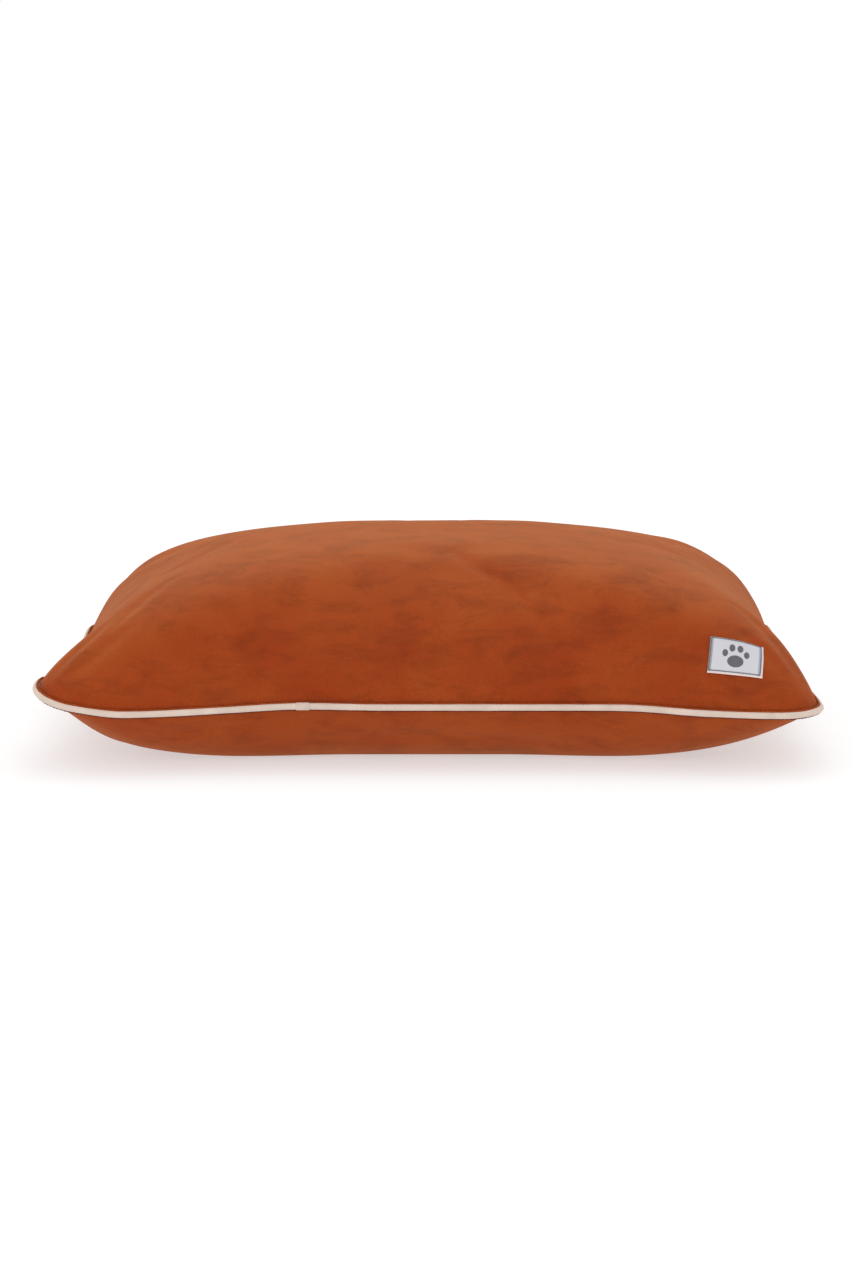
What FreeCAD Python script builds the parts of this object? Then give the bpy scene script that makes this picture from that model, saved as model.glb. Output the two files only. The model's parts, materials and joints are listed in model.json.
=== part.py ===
"""Rectangular pet cushion bed: a piped velvet cover over a fibre-filled inner cushion.

The cover is a domed top panel and a shallower base panel, sewn together round the edge with
a corded piping between them. A coil zip under the piping on the back edge lets the inner
cushion out. A woven patch is sewn to the front of the top panel, and a care label hangs from
the back seam.

Frame: origin on the floor under the middle of the cushion, +X along the length, +Y to the
back, +Z up. All sizes are in millimetres.
"""

import FreeCAD, Part
import math
import os

Vector = FreeCAD.Vector

# ---------------------------------------------------------------- cushion
length = 900.0  # over the piping, from left corners to right corners
depth = 650.0  # over the piping, from front corners to back corners
crown_height = 232.0  # floor to the highest point of the top panel
seam_height = 75.0  # floor to the middle of the piping
corner_radius = 45.0  # seam line's radius at the corners
front_pull = 22.0  # how far the middle of the front seam lies behind its corners
back_pull = 16.0
side_pull = 15.0  # the same for the two short sides
front_straight = 0.40  # share of the front seam that is straight
back_straight = 0.84  # the zip keeps most of the back seam straight
side_straight = 0.20
crown_half_depth = 46.0  # flat top of the dome, half of its size along Y
crown_stretch = 1.12  # how much faster the dome closes along X than along Y
dome_end = 0.74  # share of the way to the crown where the dome is level
dome_fullness = 0.75  # less than 1 rises more steeply from the seam
contact_inset = 100.0  # seam line to the flat area that rests on the floor
belly_tilt = 38.0  # degrees from upright of the base panel just below the seam
belly_straight = 36.0  # length of the base panel that stays flat below the seam
top_softening = 0.55  # growth of the corner radius for each millimetre inwards, on top
base_softening = 0.50
pull_reach = 145.0  # distance from the seam at which the sides no longer pull in

# ---------------------------------------------------------------- cloth and piping
cover_cloth = 1.2  # velvet with its backing
liner_cloth = 0.6  # plain woven inner case
layer_gap = 0.3  # air between two soft layers that lie on each other
seam_allowance = 12.0  # width of cloth turned in behind the cover's seam
liner_allowance = 8.0
overlock_thickness = 0.4  # thread wrapped over the raw edges
overlock_width = 5.0
seam_air = 3.0  # between one seam's overlocked edge and the layer inside it
cord_diameter = 5.4
cord_clearance = 0.25  # between the cord and its casing
casing_cloth = 0.7
casing_slit = 0.2  # between the two layers of the casing's flange
join_position = -140.0  # where the two ends of the piping meet on the front seam, along X
join_gap = 0.3

# ---------------------------------------------------------------- zip
zip_length = 540.0
zip_drop = 9.5  # seam line down to the middle of the teeth, along the cloth
tape_thickness = 0.6
tape_width = 13.5  # of one tape, from the middle of the zip
tape_overrun = 10.0  # tape beyond each end of the teeth
teeth_width = 2.7  # of one row
teeth_height = 2.0
teeth_gap = 1.0  # between the rows, where the slider's post runs
zip_mouth = 5.0  # middle of the teeth to the base panel's folded edge
slider_length = 12.6
slider_width = 9.4
slider_plate = 1.1
slider_clearance = 0.35
slider_corner = 3.0
post_thickness = 0.4
post_length = 2.4
post_setback = 1.0  # from the slider's end
bail_width = 2.2
bail_thickness = 1.1
bail_length = 7.6
eye_radius = 0.7
eye_clearance = 0.3
pull_length = 30.0
pull_width = 7.4
pull_thickness = 1.5
pull_corner = 1.6
pull_hole = 1.5  # radius of the hole near its tip
pull_hole_edge = 4.7  # tip to the middle of the hole
pull_arm_length = 8.0
pull_arm_width = 1.2
stop_length = 3.0
stop_height = 2.9  # taller than the slider's channel, so the slider can't pass
stop_gap = 0.2  # between a stop and the last tooth
end_tab_length = 12.0
end_tab_start = 2.4  # seam line to the top edge of the tab

# ---------------------------------------------------------------- labels
patch_width = 60.0
patch_height = 42.0
patch_thickness = 0.8
patch_border = 3.4
patch_border_edge = 1.9  # from the patch's edge in to its raised frame
patch_border_height = 0.4
patch_side = 349.0  # middle of the patch along X
patch_rise = 82.0  # middle of the patch above the seam
patch_turn = -10.0  # degrees, right side down
thread_diameter = 0.5
stitch_edge = 0.9  # from the patch's edge in to the stitches
stitch_pitch = 4.0
stitch_share = 0.7  # of the pitch that a stitch covers
emblem_size = 22.0  # height of the paw print
emblem_thickness = 0.4
care_width = 24.0
care_length = 46.0
care_thickness = 0.5
care_side = -312.0  # middle of the care label along X
care_reach = 0.6  # seam line out to the middle of the care label
care_drop = 2.6  # middle of the piping down to the care label's top edge

# ---------------------------------------------------------------- worked out
casing_radius = cord_diameter / 2 + cord_clearance + casing_cloth
flange_half = casing_cloth + casing_slit / 2
stack_half = flange_half + layer_gap  # middle of the seam to each cover panel
half_length = length / 2 - 2 * casing_radius
half_depth = depth / 2 - 2 * casing_radius
back_seam = half_depth - back_pull  # the straight part of the back seam, along Y
cover_depth = cover_cloth + layer_gap  # cover's outer face to the liner
liner_seam = seam_allowance + overlock_thickness + seam_air  # inwards from the cover's seam
filling_edge = liner_seam + liner_allowance + overlock_thickness + seam_air
tilt = math.radians(belly_tilt)


# ================================================================ rings and nets
# A ring is a closed row of poles round the cushion, and a net is a list of rings. Both are
# control points of uniform cubic B-splines, so neighbouring faces share their edges exactly.
LONG_SHARES = (-0.92, -0.84, -0.72, -0.6, -0.4, -0.2, 0.0, 0.2, 0.4, 0.6, 0.72, 0.84, 0.92)
SHORT_SHARES = (-0.85, -0.65, -0.4, -0.15, 0.15, 0.4, 0.65, 0.85)
CORNER_STEPS = 6
CASING_STEPS = 14
CORD_STEPS = 8  # in each half of the cord's section
PATCH_STEPS = 6  # each way across anything laid on the patch


def pole_factor(step):
    """How much further out than a circle its poles lie, when they are this angle apart."""
    return 3 / (2 + math.cos(step))


def fade(share, straight):
    """1 along the straight middle of a side, falling smoothly to 0 at its corners."""
    share = abs(share)
    if share <= straight:
        return 1.0
    return 0.5 * (1 + math.cos(math.pi * (share - straight) / (1 - straight)))


def plan(half_x, half_y, radius, pull=1.0):
    """Poles of a rounded rectangle whose sides pull in, anticlockwise from the right side."""
    run_x, run_y = half_x - radius, half_y - radius
    reach = radius * pole_factor(math.radians(90.0 / CORNER_STEPS))
    poles = []

    def corner(sign_x, sign_y, start):
        for step in range(CORNER_STEPS + 1):
            angle = math.radians(start + 90.0 * step / CORNER_STEPS)
            r = radius if step in (0, CORNER_STEPS) else reach
            x = sign_x * run_x + r * math.cos(angle)
            poles.append((x, sign_y * run_y + r * math.sin(angle)))

    for share in SHORT_SHARES:
        poles.append((half_x - pull * side_pull * fade(share, side_straight), run_y * share))
    corner(1, 1, 0)
    for share in LONG_SHARES:
        poles.append((-run_x * share, half_y - pull * back_pull * fade(share, back_straight)))
    corner(-1, 1, 90)
    for share in SHORT_SHARES:
        poles.append((-half_x + pull * side_pull * fade(share, side_straight), -run_y * share))
    corner(-1, -1, 180)
    for share in LONG_SHARES:
        poles.append((run_x * share, -half_y + pull * front_pull * fade(share, front_straight)))
    corner(1, -1, 270)
    return poles


SEAM = plan(half_length, half_depth, corner_radius)


def outward(poles):
    """Unit normals of a plan, pointing away from the cushion."""
    count = len(poles)
    normals = []
    for i in range(count):
        x0, y0 = poles[i - 1]
        x1, y1 = poles[(i + 1) % count]
        size = math.hypot(x1 - x0, y1 - y0)
        normals.append(((y1 - y0) / size, (x0 - x1) / size))
    return normals


SEAM_NORMALS = outward(SEAM)


def seam_ring(reach, rise):
    """The seam line moved outwards by reach and up by rise."""
    z = seam_height + rise
    pairs = zip(SEAM, SEAM_NORMALS)
    return [Vector(x + nx * reach, y + ny * reach, z) for (x, y), (nx, ny) in pairs]


def level_ring(inset, z, stretch, softening):
    """A ring at one height, inset from the seam line, with corners that get rounder inwards."""
    half_x, half_y = half_length - stretch * inset, half_depth - inset
    radius = min(corner_radius + softening * inset, 0.97 * min(half_x, half_y))
    pull = max(0.0, 1 - inset / pull_reach)
    return [Vector(x, y, z) for x, y in plan(half_x, half_y, radius, pull)]


def top_net(rise):
    """The top panel's outer face, from the seam to the flat top of the crown."""
    reach = half_depth - crown_half_depth
    lift = crown_height - seam_height - rise
    rings = [seam_ring(0, rise)]
    for share in (0.02, 0.055, 0.11, 0.19, 0.29, 0.41, 0.55, 0.70):
        height = math.sin(math.pi / 2 * min(1.0, share / dome_end)) ** dome_fullness
        z = seam_height + rise + lift * height
        rings.append(level_ring(share * reach, z, crown_stretch, top_softening))
    for share in (0.86, 1.0):
        rings.append(level_ring(share * reach, crown_height, crown_stretch, top_softening))
    return rings


def base_net(drop):
    """The base panel's outer face, from the seam to the flat area on the floor."""
    rings = [seam_ring(0, -drop)]
    for step in (1, 2, 3):
        along = belly_straight * step / 3
        rings.append(seam_ring(-along * math.sin(tilt), -drop - along * math.cos(tilt)))
    start = belly_straight * math.sin(tilt)
    low = seam_height - drop - belly_straight * math.cos(tilt)
    for share, height in ((0.30, 0.38), (0.60, 0.08), (0.84, 0.0), (1.0, 0.0)):
        inset = start + share * (contact_inset - start)
        rings.append(level_ring(inset, low * height, 1.0, base_softening))
    return rings


def net_normals(net, up):
    """Unit normals at a net's poles, pointing out of the cushion (up is 1 on top, -1 below)."""
    rows, count = len(net), len(net[0])
    normals = []
    for k in range(rows):
        row = []
        for j in range(count):
            along = net[k][(j + 1) % count] - net[k][j - 1]
            across = net[min(k + 1, rows - 1)][j] - net[max(k - 1, 0)][j]
            normal = along.cross(across) * up
            row.append(Vector(0, 0, up) if k >= rows - 2 else normal.normalize())
        normals.append(row)
    return normals


def sunk(net, up, by, edge, fade_length):
    """A net moved into the cushion by a distance, and further in near the seam.

    Its own seam runs the distance called edge inside the cover's seam.
    """
    normals = net_normals(net, up)
    moved, travelled = [seam_ring(-edge, net[0][0].z - seam_height)], 0.0
    for k in range(1, len(net)):
        travelled += (net[k][0] - net[k - 1][0]).Length
        extra = (edge - by) * math.exp(-((travelled / fade_length) ** 2))
        row = []
        for pole, normal, (nx, ny) in zip(net[k], normals[k], SEAM_NORMALS):
            row.append(pole - normal * by - Vector(nx * extra, ny * extra, 0))
        moved.append(row)
    return moved


# ================================================================ faces and solids
def knots(count, degree, periodic):
    """Uniform knots and their multiplicities, clamped at the ends unless periodic."""
    if periodic:
        return [float(i) for i in range(count + 1)], [1] * (count + 1)
    spans = count - degree
    return [float(i) for i in range(spans + 1)], [degree + 1] + [1] * (spans - 1) + [degree + 1]


def spans(ring):
    """The ring's knots in pairs. A band has a face for each, so that its faces stay short."""
    return [(float(i), float(i + 1)) for i in range(len(ring))]


def net_surface(net):
    """The surface through the rings of a net, closed round the cushion."""
    across = min(3, len(net) - 1)
    knots_u, mults_u = knots(len(net), across, False)
    knots_v, mults_v = knots(len(net[0]), 3, True)
    surface = Part.BSplineSurface()
    surface.buildFromPolesMultsKnots(
        net, mults_u, mults_v, knots_u, knots_v, False, True, across, 3
    )
    return surface


def band(net):
    """Faces through the rings of a net, end to end round the cushion."""
    whole = net_surface(net)
    across = whole.bounds()[:2]
    faces = []
    for first, last in spans(net[0]):
        surface = whole.copy()
        surface.segment(*across, first, last)
        faces.append(surface.toShape())
    return faces


def level_cap(ring):
    """The flat face inside a ring at one height."""
    knots_v, mults_v = knots(len(ring), 3, True)
    curve = Part.BSplineCurve()
    curve.buildFromPolesMultsKnots(ring, mults_v, knots_v, True, 3)
    return Part.Face(Part.Wire([curve.toShape(first, last) for first, last in spans(ring)]))


def closed_solid(faces):
    """A solid from faces that meet at their edges, with its inside on the inside."""
    shell = Part.Shell(faces)
    shell.sewShape()
    solid = Part.Solid(shell.Shells[0] if shell.Shells else shell)
    if solid.Volume < 0:
        solid.reverse()
    return solid


def ring_solid(rings):
    """A solid ring round the cushion from the corners of its section, in order."""
    pairs = zip(rings, rings[1:] + rings[:1])
    return closed_solid([face for first, second in pairs for face in band([first, second])])


def underside(net, up, cloth):
    """The inner face of a panel, mitred where its seam allowance turns in."""
    normals = net_normals(net, up)
    inner = [[p - n * cloth for p, n in zip(row, side)] for row, side in zip(net, normals)]
    first = []
    for near, far, (nx, ny) in zip(net[0], net[1], SEAM_NORMALS):
        step = far - near
        slope = math.atan2(abs(step.z), -(step.x * nx + step.y * ny))
        back = cloth / math.tan(slope / 2)
        first.append(Vector(near.x - nx * back, near.y - ny * back, near.z + up * cloth))
    return [first] + inner[1:]


def panel(net, up, cloth, edge, allowance):
    """A sewn panel: a cloth skin under a net, with its seam allowance turned in level."""
    inner = underside(net, up, cloth)
    first = net[0][0].z - seam_height
    raw_edge = [seam_ring(-edge - allowance, first + rise) for rise in (up * cloth, 0.0)]
    faces = [
        *band(net),
        *band(inner),
        *band([inner[0], raw_edge[0]]),
        *band(raw_edge),
        *band([raw_edge[1], net[0]]),
        level_cap(net[-1]),
        level_cap(inner[-1]),
    ]
    return closed_solid(faces)


def overlock(raw_edge, half_stack):
    """Thread wrapped over the raw edges of a seam: a U-shaped ring with a little air inside."""
    air = layer_gap / 2
    near, far = -raw_edge + overlock_width, -raw_edge - air
    low, high = half_stack + air, half_stack + air + overlock_thickness
    section = [
        (near, high),
        (far - overlock_thickness, high),
        (far - overlock_thickness, -high),
        (near, -high),
        (near, -low),
        (far, -low),
        (far, low),
        (near, low),
    ]
    return ring_solid([seam_ring(reach, rise) for reach, rise in section])


def arc_section(radius, start, end, count):
    """Poles (reach, rise) of an arc round the middle of the piping, angles in degrees."""
    step = math.radians(end - start) / count
    points = []
    for i in range(count + 1):
        angle = math.radians(start) + step * i
        r = radius if i in (0, count) else radius * pole_factor(step)
        points.append((casing_radius + r * math.cos(angle), r * math.sin(angle)))
    return points


# ================================================================ the piping
def piping_casing():
    """A strip of cloth folded round the cord, both layers running back between the panels."""
    outer_turn = math.degrees(math.asin(flange_half / casing_radius))
    inner_radius = casing_radius - casing_cloth
    inner_turn = math.degrees(math.asin(casing_slit / 2 / inner_radius))
    outer = arc_section(casing_radius, 180 - outer_turn, outer_turn - 180, CASING_STEPS)
    inner = arc_section(inner_radius, inner_turn - 180, 180 - inner_turn, CASING_STEPS)
    end = -seam_allowance
    faces = [
        *band([seam_ring(*point) for point in outer]),
        *band([seam_ring(*outer[-1]), seam_ring(end, -flange_half)]),
        *band([seam_ring(end, -flange_half), seam_ring(end, -casing_slit / 2)]),
        *band([seam_ring(end, -casing_slit / 2), seam_ring(*inner[0])]),
        *band([seam_ring(*point) for point in inner]),
        *band([seam_ring(*inner[-1]), seam_ring(end, casing_slit / 2)]),
        *band([seam_ring(end, casing_slit / 2), seam_ring(end, flange_half)]),
        *band([seam_ring(end, flange_half), seam_ring(*outer[0])]),
    ]
    return closed_solid(faces).cut(join_cut())


def join_cut():
    """The slot between the two ends of the piping on the front seam."""
    front, back = -depth, -half_depth + front_pull + 2 * seam_allowance
    corner = Vector(join_position, front, seam_height - seam_allowance)
    return Part.makeBox(join_gap, back - front, 2 * seam_allowance, corner)


def piping_cord():
    """The twisted cord inside the casing, a closed loop cut where its ends butt together."""
    halves = [arc_section(cord_diameter / 2, turn, turn + 180, CORD_STEPS) for turn in (0, 180)]
    faces = [face for half in halves for face in band([seam_ring(*point) for point in half])]
    return closed_solid(faces).cut(join_cut())


# ================================================================ the cover and its contents
def cover_top():
    return panel(top_net(stack_half), 1, cover_cloth, 0.0, seam_allowance)


def zip_place(shape):
    """Moves a shape from the zip's own frame to the back of the cushion.

    In the zip's frame X runs along it, Y down the cloth away from the piping and Z outwards,
    with the origin on the outer face of the tape at the middle of the zip.
    """
    down = Vector(0, -math.sin(tilt), -math.cos(tilt))
    out = Vector(0, math.cos(tilt), -math.sin(tilt))
    start = Vector(0, back_seam, seam_height - stack_half)
    turn = FreeCAD.Rotation(Vector(1, 0, 0), -(90 + belly_tilt))
    place = FreeCAD.Placement(start + down * zip_drop - out * cover_depth, turn)
    moved = shape.copy()
    moved.Placement = place.multiply(moved.Placement)
    return moved


def block(x0, x1, y0, y1, z0, z1):
    return Part.makeBox(x1 - x0, y1 - y0, z1 - z0, Vector(x0, y0, z0))


def cover_base():
    whole = panel(base_net(stack_half), -1, cover_cloth, 0.0, seam_allowance)
    half = zip_length / 2 + end_tab_length + 2 * layer_gap
    deep = seam_allowance
    mouth = block(-half, half, -zip_drop - deep, zip_mouth, -deep, deep / 2)
    return whole.cut(zip_place(mouth))


def liner_panel(up):
    """One half of the inner case, clear of the cover's turned-in edges."""
    shape = top_net(layer_gap / 2) if up > 0 else base_net(layer_gap / 2)
    net = sunk(shape, up, cover_depth, liner_seam, 1.5 * liner_seam)
    return panel(net, up, liner_cloth, liner_seam, liner_allowance)


def filling():
    """The fibre filling, one soft body that fills the inner case."""
    deep = cover_depth + liner_cloth + layer_gap
    top = sunk(top_net(0), 1, deep, filling_edge, 1.1 * filling_edge)
    base = sunk(base_net(0), -1, deep, filling_edge, 1.1 * filling_edge)
    return closed_solid([*band(top), *band(base), level_cap(top[-1]), level_cap(base[-1])])


# ================================================================ the zip
def profile_extrusion(points, half):
    """A flat outline in the YZ plane, extruded along X to both sides."""
    corners = [Vector(-half, y, z) for y, z in points]
    face = Part.Face(Part.makePolygon(corners + corners[:1]))
    return face.extrude(Vector(2 * half, 0, 0))


def zip_tape_lower():
    half = zip_length / 2 + tape_overrun
    return zip_place(block(-half, half, teeth_gap / 2, tape_width, -tape_thickness, 0))


def zip_tape_upper():
    """Runs up behind the piping and turns in level, where it is sewn into the seam."""
    half = zip_length / 2 + tape_overrun
    level = seam_height - stack_half
    sine, cosine = math.sin(tilt), math.cos(tilt)

    def on_slope(face_depth, z):
        """Y where the slope that lies this deep in the cloth reaches the height z."""
        y0 = back_seam - cosine * face_depth
        z0 = seam_height - stack_half + sine * face_depth
        return y0 - (z0 - z) * sine / cosine

    def at(along, face_depth):
        y = back_seam - sine * along - cosine * face_depth
        return y, seam_height - stack_half - cosine * along + sine * face_depth

    outer, inner = cover_depth, cover_depth + tape_thickness
    end = zip_drop - teeth_gap / 2
    inner_end = back_seam - seam_allowance
    low = level - tape_thickness
    points = [
        at(end, outer),
        (on_slope(outer, level), level),
        (inner_end, level),
        (inner_end, low),
        (on_slope(inner, low), low),
        at(end, inner),
    ]
    return profile_extrusion(points, half)


def zip_teeth(side):
    """One row of coil teeth as a smooth rounded bar on its tape; side is -1 above, 1 below."""
    half = zip_length / 2
    near, far = teeth_gap / 2, teeth_gap / 2 + teeth_width
    low, high = (near, far) if side > 0 else (-far, -near)
    bar = block(-half, half, low, high, 0, teeth_height)
    long_edges = [
        edge
        for edge in bar.Edges
        if edge.Length > zip_length / 2 and edge.BoundBox.ZMin > teeth_height / 2
    ]
    return zip_place(bar.makeFillet(teeth_width / 4, long_edges))


def slider_rest():
    """Middle of the closed zip's slider along X, up against the top stops."""
    return zip_length / 2 + stop_gap - slider_length / 2 - slider_clearance


def slider_top():
    """Upper face of the slider's top plate, above the tape."""
    return teeth_height + slider_clearance + slider_plate


def eye_height():
    """Middle of the pull's eye above the tape, which is also the pull's hinge."""
    return slider_top() + eye_clearance + eye_radius


def zip_slider():
    half_l, half_w = slider_length / 2, slider_width / 2
    top, under = slider_top(), -tape_thickness - slider_clearance
    flange = teeth_gap / 2 + teeth_width + slider_clearance
    plates = block(-half_l, half_l, -half_w, half_w, top - slider_plate, top)
    plates = plates.fuse(block(-half_l, half_l, -half_w, half_w, under - slider_plate, under))
    uprights = [e for e in plates.Edges if abs(e.Length - slider_plate) < 1e-6]
    body = plates.makeFillet(slider_corner, uprights)
    reach = half_l - slider_corner
    for side in (-1, 1):
        low, high = sorted((side * flange, side * half_w))
        body = body.fuse(block(-reach, reach, low, high, slider_clearance, top - slider_plate))
    half_post = post_thickness / 2
    front = half_l - post_setback
    post = block(front - post_length, front, -half_post, half_post, under, top)
    body = body.fuse(post)
    arch = eye_height() + eye_radius + eye_clearance
    half_b = bail_width / 2
    bail = block(-bail_length / 2, bail_length / 2, -half_b, half_b, top, arch + bail_thickness)
    inside = bail_length / 2 - bail_thickness
    bail = bail.cut(block(-inside, inside, -bail_width, bail_width, top, arch))
    corners = [
        e
        for e in bail.Edges
        if abs(e.Length - bail_width) < 1e-6 and e.BoundBox.ZMin > arch + bail_thickness / 2
    ]
    body = body.fuse(bail.makeFillet(0.8 * bail_thickness, corners)).removeSplitter()
    body.translate(Vector(slider_rest(), 0, 0))
    return zip_place(body)


def zip_pull():
    """A flat tab on two arms, with the round eye bar that runs through the slider's bail."""
    inner = bail_width / 2 + eye_clearance
    outer = inner + pull_arm_width
    half_t, half_w = pull_thickness / 2, pull_width / 2
    z = eye_height()
    bar = Part.makeCylinder(eye_radius, 2 * outer, Vector(0, -outer, z), Vector(0, 1, 0))
    tab = block(-pull_length, -pull_arm_length, -half_w, half_w, z - half_t, z + half_t)
    uprights = [e for e in tab.Edges if abs(e.Length - pull_thickness) < 1e-6]
    tab = tab.makeFillet(pull_corner, uprights)
    low = Vector(pull_hole_edge - pull_length, 0, z - pull_thickness)
    hole = Part.makeCylinder(pull_hole, 2 * pull_thickness, low)
    pull = tab.cut(hole).fuse(bar)
    for side in (-1, 1):
        low, high = sorted((side * inner, side * outer))
        arm = block(-pull_arm_length - pull_corner, 0, low, high, z - eye_radius, z + eye_radius)
        pull = pull.fuse(arm)
    pull = pull.removeSplitter()
    pull.translate(Vector(slider_rest(), 0, 0))
    return zip_place(pull)


def zip_top_stops():
    """One small clamp on each tape, just past the last tooth."""
    start = zip_length / 2
    stops = []
    for side in (-1, 1):
        low, high = sorted((side * teeth_gap / 2, side * (teeth_gap / 2 + teeth_width)))
        stops.append(block(start + stop_gap, start + stop_length, low, high, 0, stop_height))
    return zip_place(Part.makeCompound(stops))


def zip_bottom_stop():
    """One clamp across both tapes at the end where the zip starts."""
    start = -zip_length / 2
    wide = teeth_gap / 2 + teeth_width
    return zip_place(block(start - stop_length, start - stop_gap, -wide, wide, 0, stop_height))


def zip_end_tab(side):
    """A folded scrap of the cover's cloth that hides one end of the zip's tape."""
    start = zip_length / 2 + stop_length + layer_gap
    end = zip_length / 2 + end_tab_length + layer_gap
    low, high = sorted((side * start, side * end))
    top, bottom = end_tab_start - zip_drop, zip_mouth - layer_gap
    return zip_place(block(low, high, top, bottom, layer_gap, layer_gap + cover_cloth))


# ================================================================ labels
class Skin:
    """The top panel's outer face, to lay things on."""

    def __init__(self):
        self.surface = net_surface(top_net(stack_half))

    def frame_near(self, point):
        """The nearest point of the skin, with directions across, up and out of it."""
        u, v = self.surface.parameter(point)
        origin = self.surface.value(u, v)
        out = self.surface.normal(u, v)
        if out.y > 0:
            out = out * -1
        across = Vector(0, 0, 1).cross(out).normalize()
        across = across * (1 if across.x > 0 else -1)
        return origin, across, out.cross(across), out

    def lifted(self, point, by):
        """The nearest point of the skin, moved out of it."""
        origin, _, _, out = self.frame_near(point)
        return origin + out * by


SKIN = Skin()


def patch_point(across, up):
    """A point on the skin, from its place on the patch seen flat."""
    start = Vector(patch_side, -half_depth, seam_height + patch_rise)
    origin, side, rise, _ = SKIN.frame_near(start)
    turn = math.radians(patch_turn)
    x = across * math.cos(turn) - up * math.sin(turn)
    y = across * math.sin(turn) + up * math.cos(turn)
    return origin + side * x + rise * y


def laid_block(x0, x1, y0, y1, low, high):
    """A thin block bent to lie on the skin, given on the flat patch with its heights."""
    steps = PATCH_STEPS
    grids = []
    for lift in (low, high):
        grid = []
        for i in range(steps + 1):
            x = x0 + (x1 - x0) * i / steps
            row = []
            for j in range(steps + 1):
                y = y0 + (y1 - y0) * j / steps
                row.append(SKIN.lifted(patch_point(x, y), lift))
            grid.append(row)
        grids.append(grid)
    surfaces = []
    for grid in grids:
        surface = Part.BSplineSurface()
        surface.interpolate(grid)
        surfaces.append(surface)
    lower, upper = surfaces
    last_u, last_v = lower.bounds()[1], lower.bounds()[3]
    faces = [lower.toShape(), upper.toShape()]
    for edge in ("u0", "u1", "v0", "v1"):
        at = 0.0 if edge.endswith("0") else (last_u if edge[0] == "u" else last_v)
        curves = []
        for surface in surfaces:
            curves.append(surface.uIso(at) if edge[0] == "u" else surface.vIso(at))
        faces.append(Part.makeRuledSurface(curves[0].toShape(), curves[1].toShape()))
    return closed_solid(faces)


def label_patch():
    half_w, half_h = patch_width / 2, patch_height / 2
    return laid_block(-half_w, half_w, -half_h, half_h, layer_gap, layer_gap + patch_thickness)


def label_border():
    """The raised woven frame round the patch, as four strips."""
    half_w, half_h = patch_width / 2 - patch_border_edge, patch_height / 2 - patch_border_edge
    low = 2 * layer_gap + patch_thickness
    high = low + patch_border_height
    inner_w, inner_h = half_w - patch_border, half_h - patch_border * 0.4
    strips = [
        laid_block(-half_w, -inner_w, -half_h, half_h, low, high),
        laid_block(inner_w, half_w, -half_h, half_h, low, high),
        laid_block(-inner_w + layer_gap, inner_w - layer_gap, inner_h, half_h, low, high),
        laid_block(-inner_w + layer_gap, inner_w - layer_gap, -half_h, -inner_h, low, high),
    ]
    return Part.makeCompound(strips)


def label_stitches():
    """Short straight stitches round the patch's edge."""
    half_w, half_h = patch_width / 2 - stitch_edge, patch_height / 2 - stitch_edge
    height = 2 * layer_gap + patch_thickness + thread_diameter / 2
    corners = [(-half_w, -half_h), (half_w, -half_h), (half_w, half_h), (-half_w, half_h)]
    stitches = []
    for (x0, y0), (x1, y1) in zip(corners, corners[1:] + corners[:1]):
        count = round(math.hypot(x1 - x0, y1 - y0) / stitch_pitch)
        for i in range(count):
            ends = []
            for share in ((i + 0.5 - stitch_share / 2) / count, (i + 0.5 + stitch_share / 2) / count):
                point = patch_point(x0 + (x1 - x0) * share, y0 + (y1 - y0) * share)
                ends.append(SKIN.lifted(point, height))
            along = ends[1] - ends[0]
            stitches.append(Part.makeCylinder(thread_diameter / 2, along.Length, ends[0], along))
    return Part.makeCompound(stitches)


def laid_disc(x, y, radius_x, radius_y, turn=0.0):
    """An oval pad of thread that stands on the patch."""
    low = 2 * layer_gap + patch_thickness
    start = SKIN.lifted(patch_point(x, y), low)
    _, _, _, out = SKIN.frame_near(start)
    side = patch_point(x + 1, y) - patch_point(x, y)
    side = (side - out * side.dot(out)).normalize()
    rise = out.cross(side)
    angle = math.radians(turn)
    major = side * math.cos(angle) + rise * math.sin(angle)
    if radius_y > radius_x:
        major = rise * math.cos(angle) - side * math.sin(angle)
    longer, shorter = max(radius_x, radius_y), min(radius_x, radius_y)
    minor = out.cross(major)
    ellipse = Part.Ellipse(start + major * longer, start + minor * shorter, start)
    face = Part.Face(Part.Wire(ellipse.toShape()))
    return face.extrude(out * emblem_thickness)


def label_emblem():
    """A plain paw print: one main pad under four toes."""
    size = emblem_size
    pads = [laid_disc(0, -0.16 * size, 0.30 * size, 0.24 * size)]
    for side in (-1, 1):
        pads.append(laid_disc(side * 0.40 * size, 0.10 * size, 0.10 * size, 0.15 * size, side * -22))
        pads.append(laid_disc(side * 0.15 * size, 0.30 * size, 0.11 * size, 0.17 * size, side * -8))
    return Part.makeCompound(pads)


def care_label():
    """A folded satin loop that hangs from the back seam beside the zip."""
    y = back_seam + care_reach
    top = seam_height - care_drop
    half = care_thickness / 2
    x0, x1 = care_side - care_width / 2, care_side + care_width / 2
    flap = block(x0, x1, y - half, y + half, top - care_length, top)
    bottom = [
        e for e in flap.Edges if e.BoundBox.ZMax < top - care_length / 2 and e.Length > care_width / 2
    ]
    return flap.makeFillet(half * 0.8, bottom)


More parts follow.
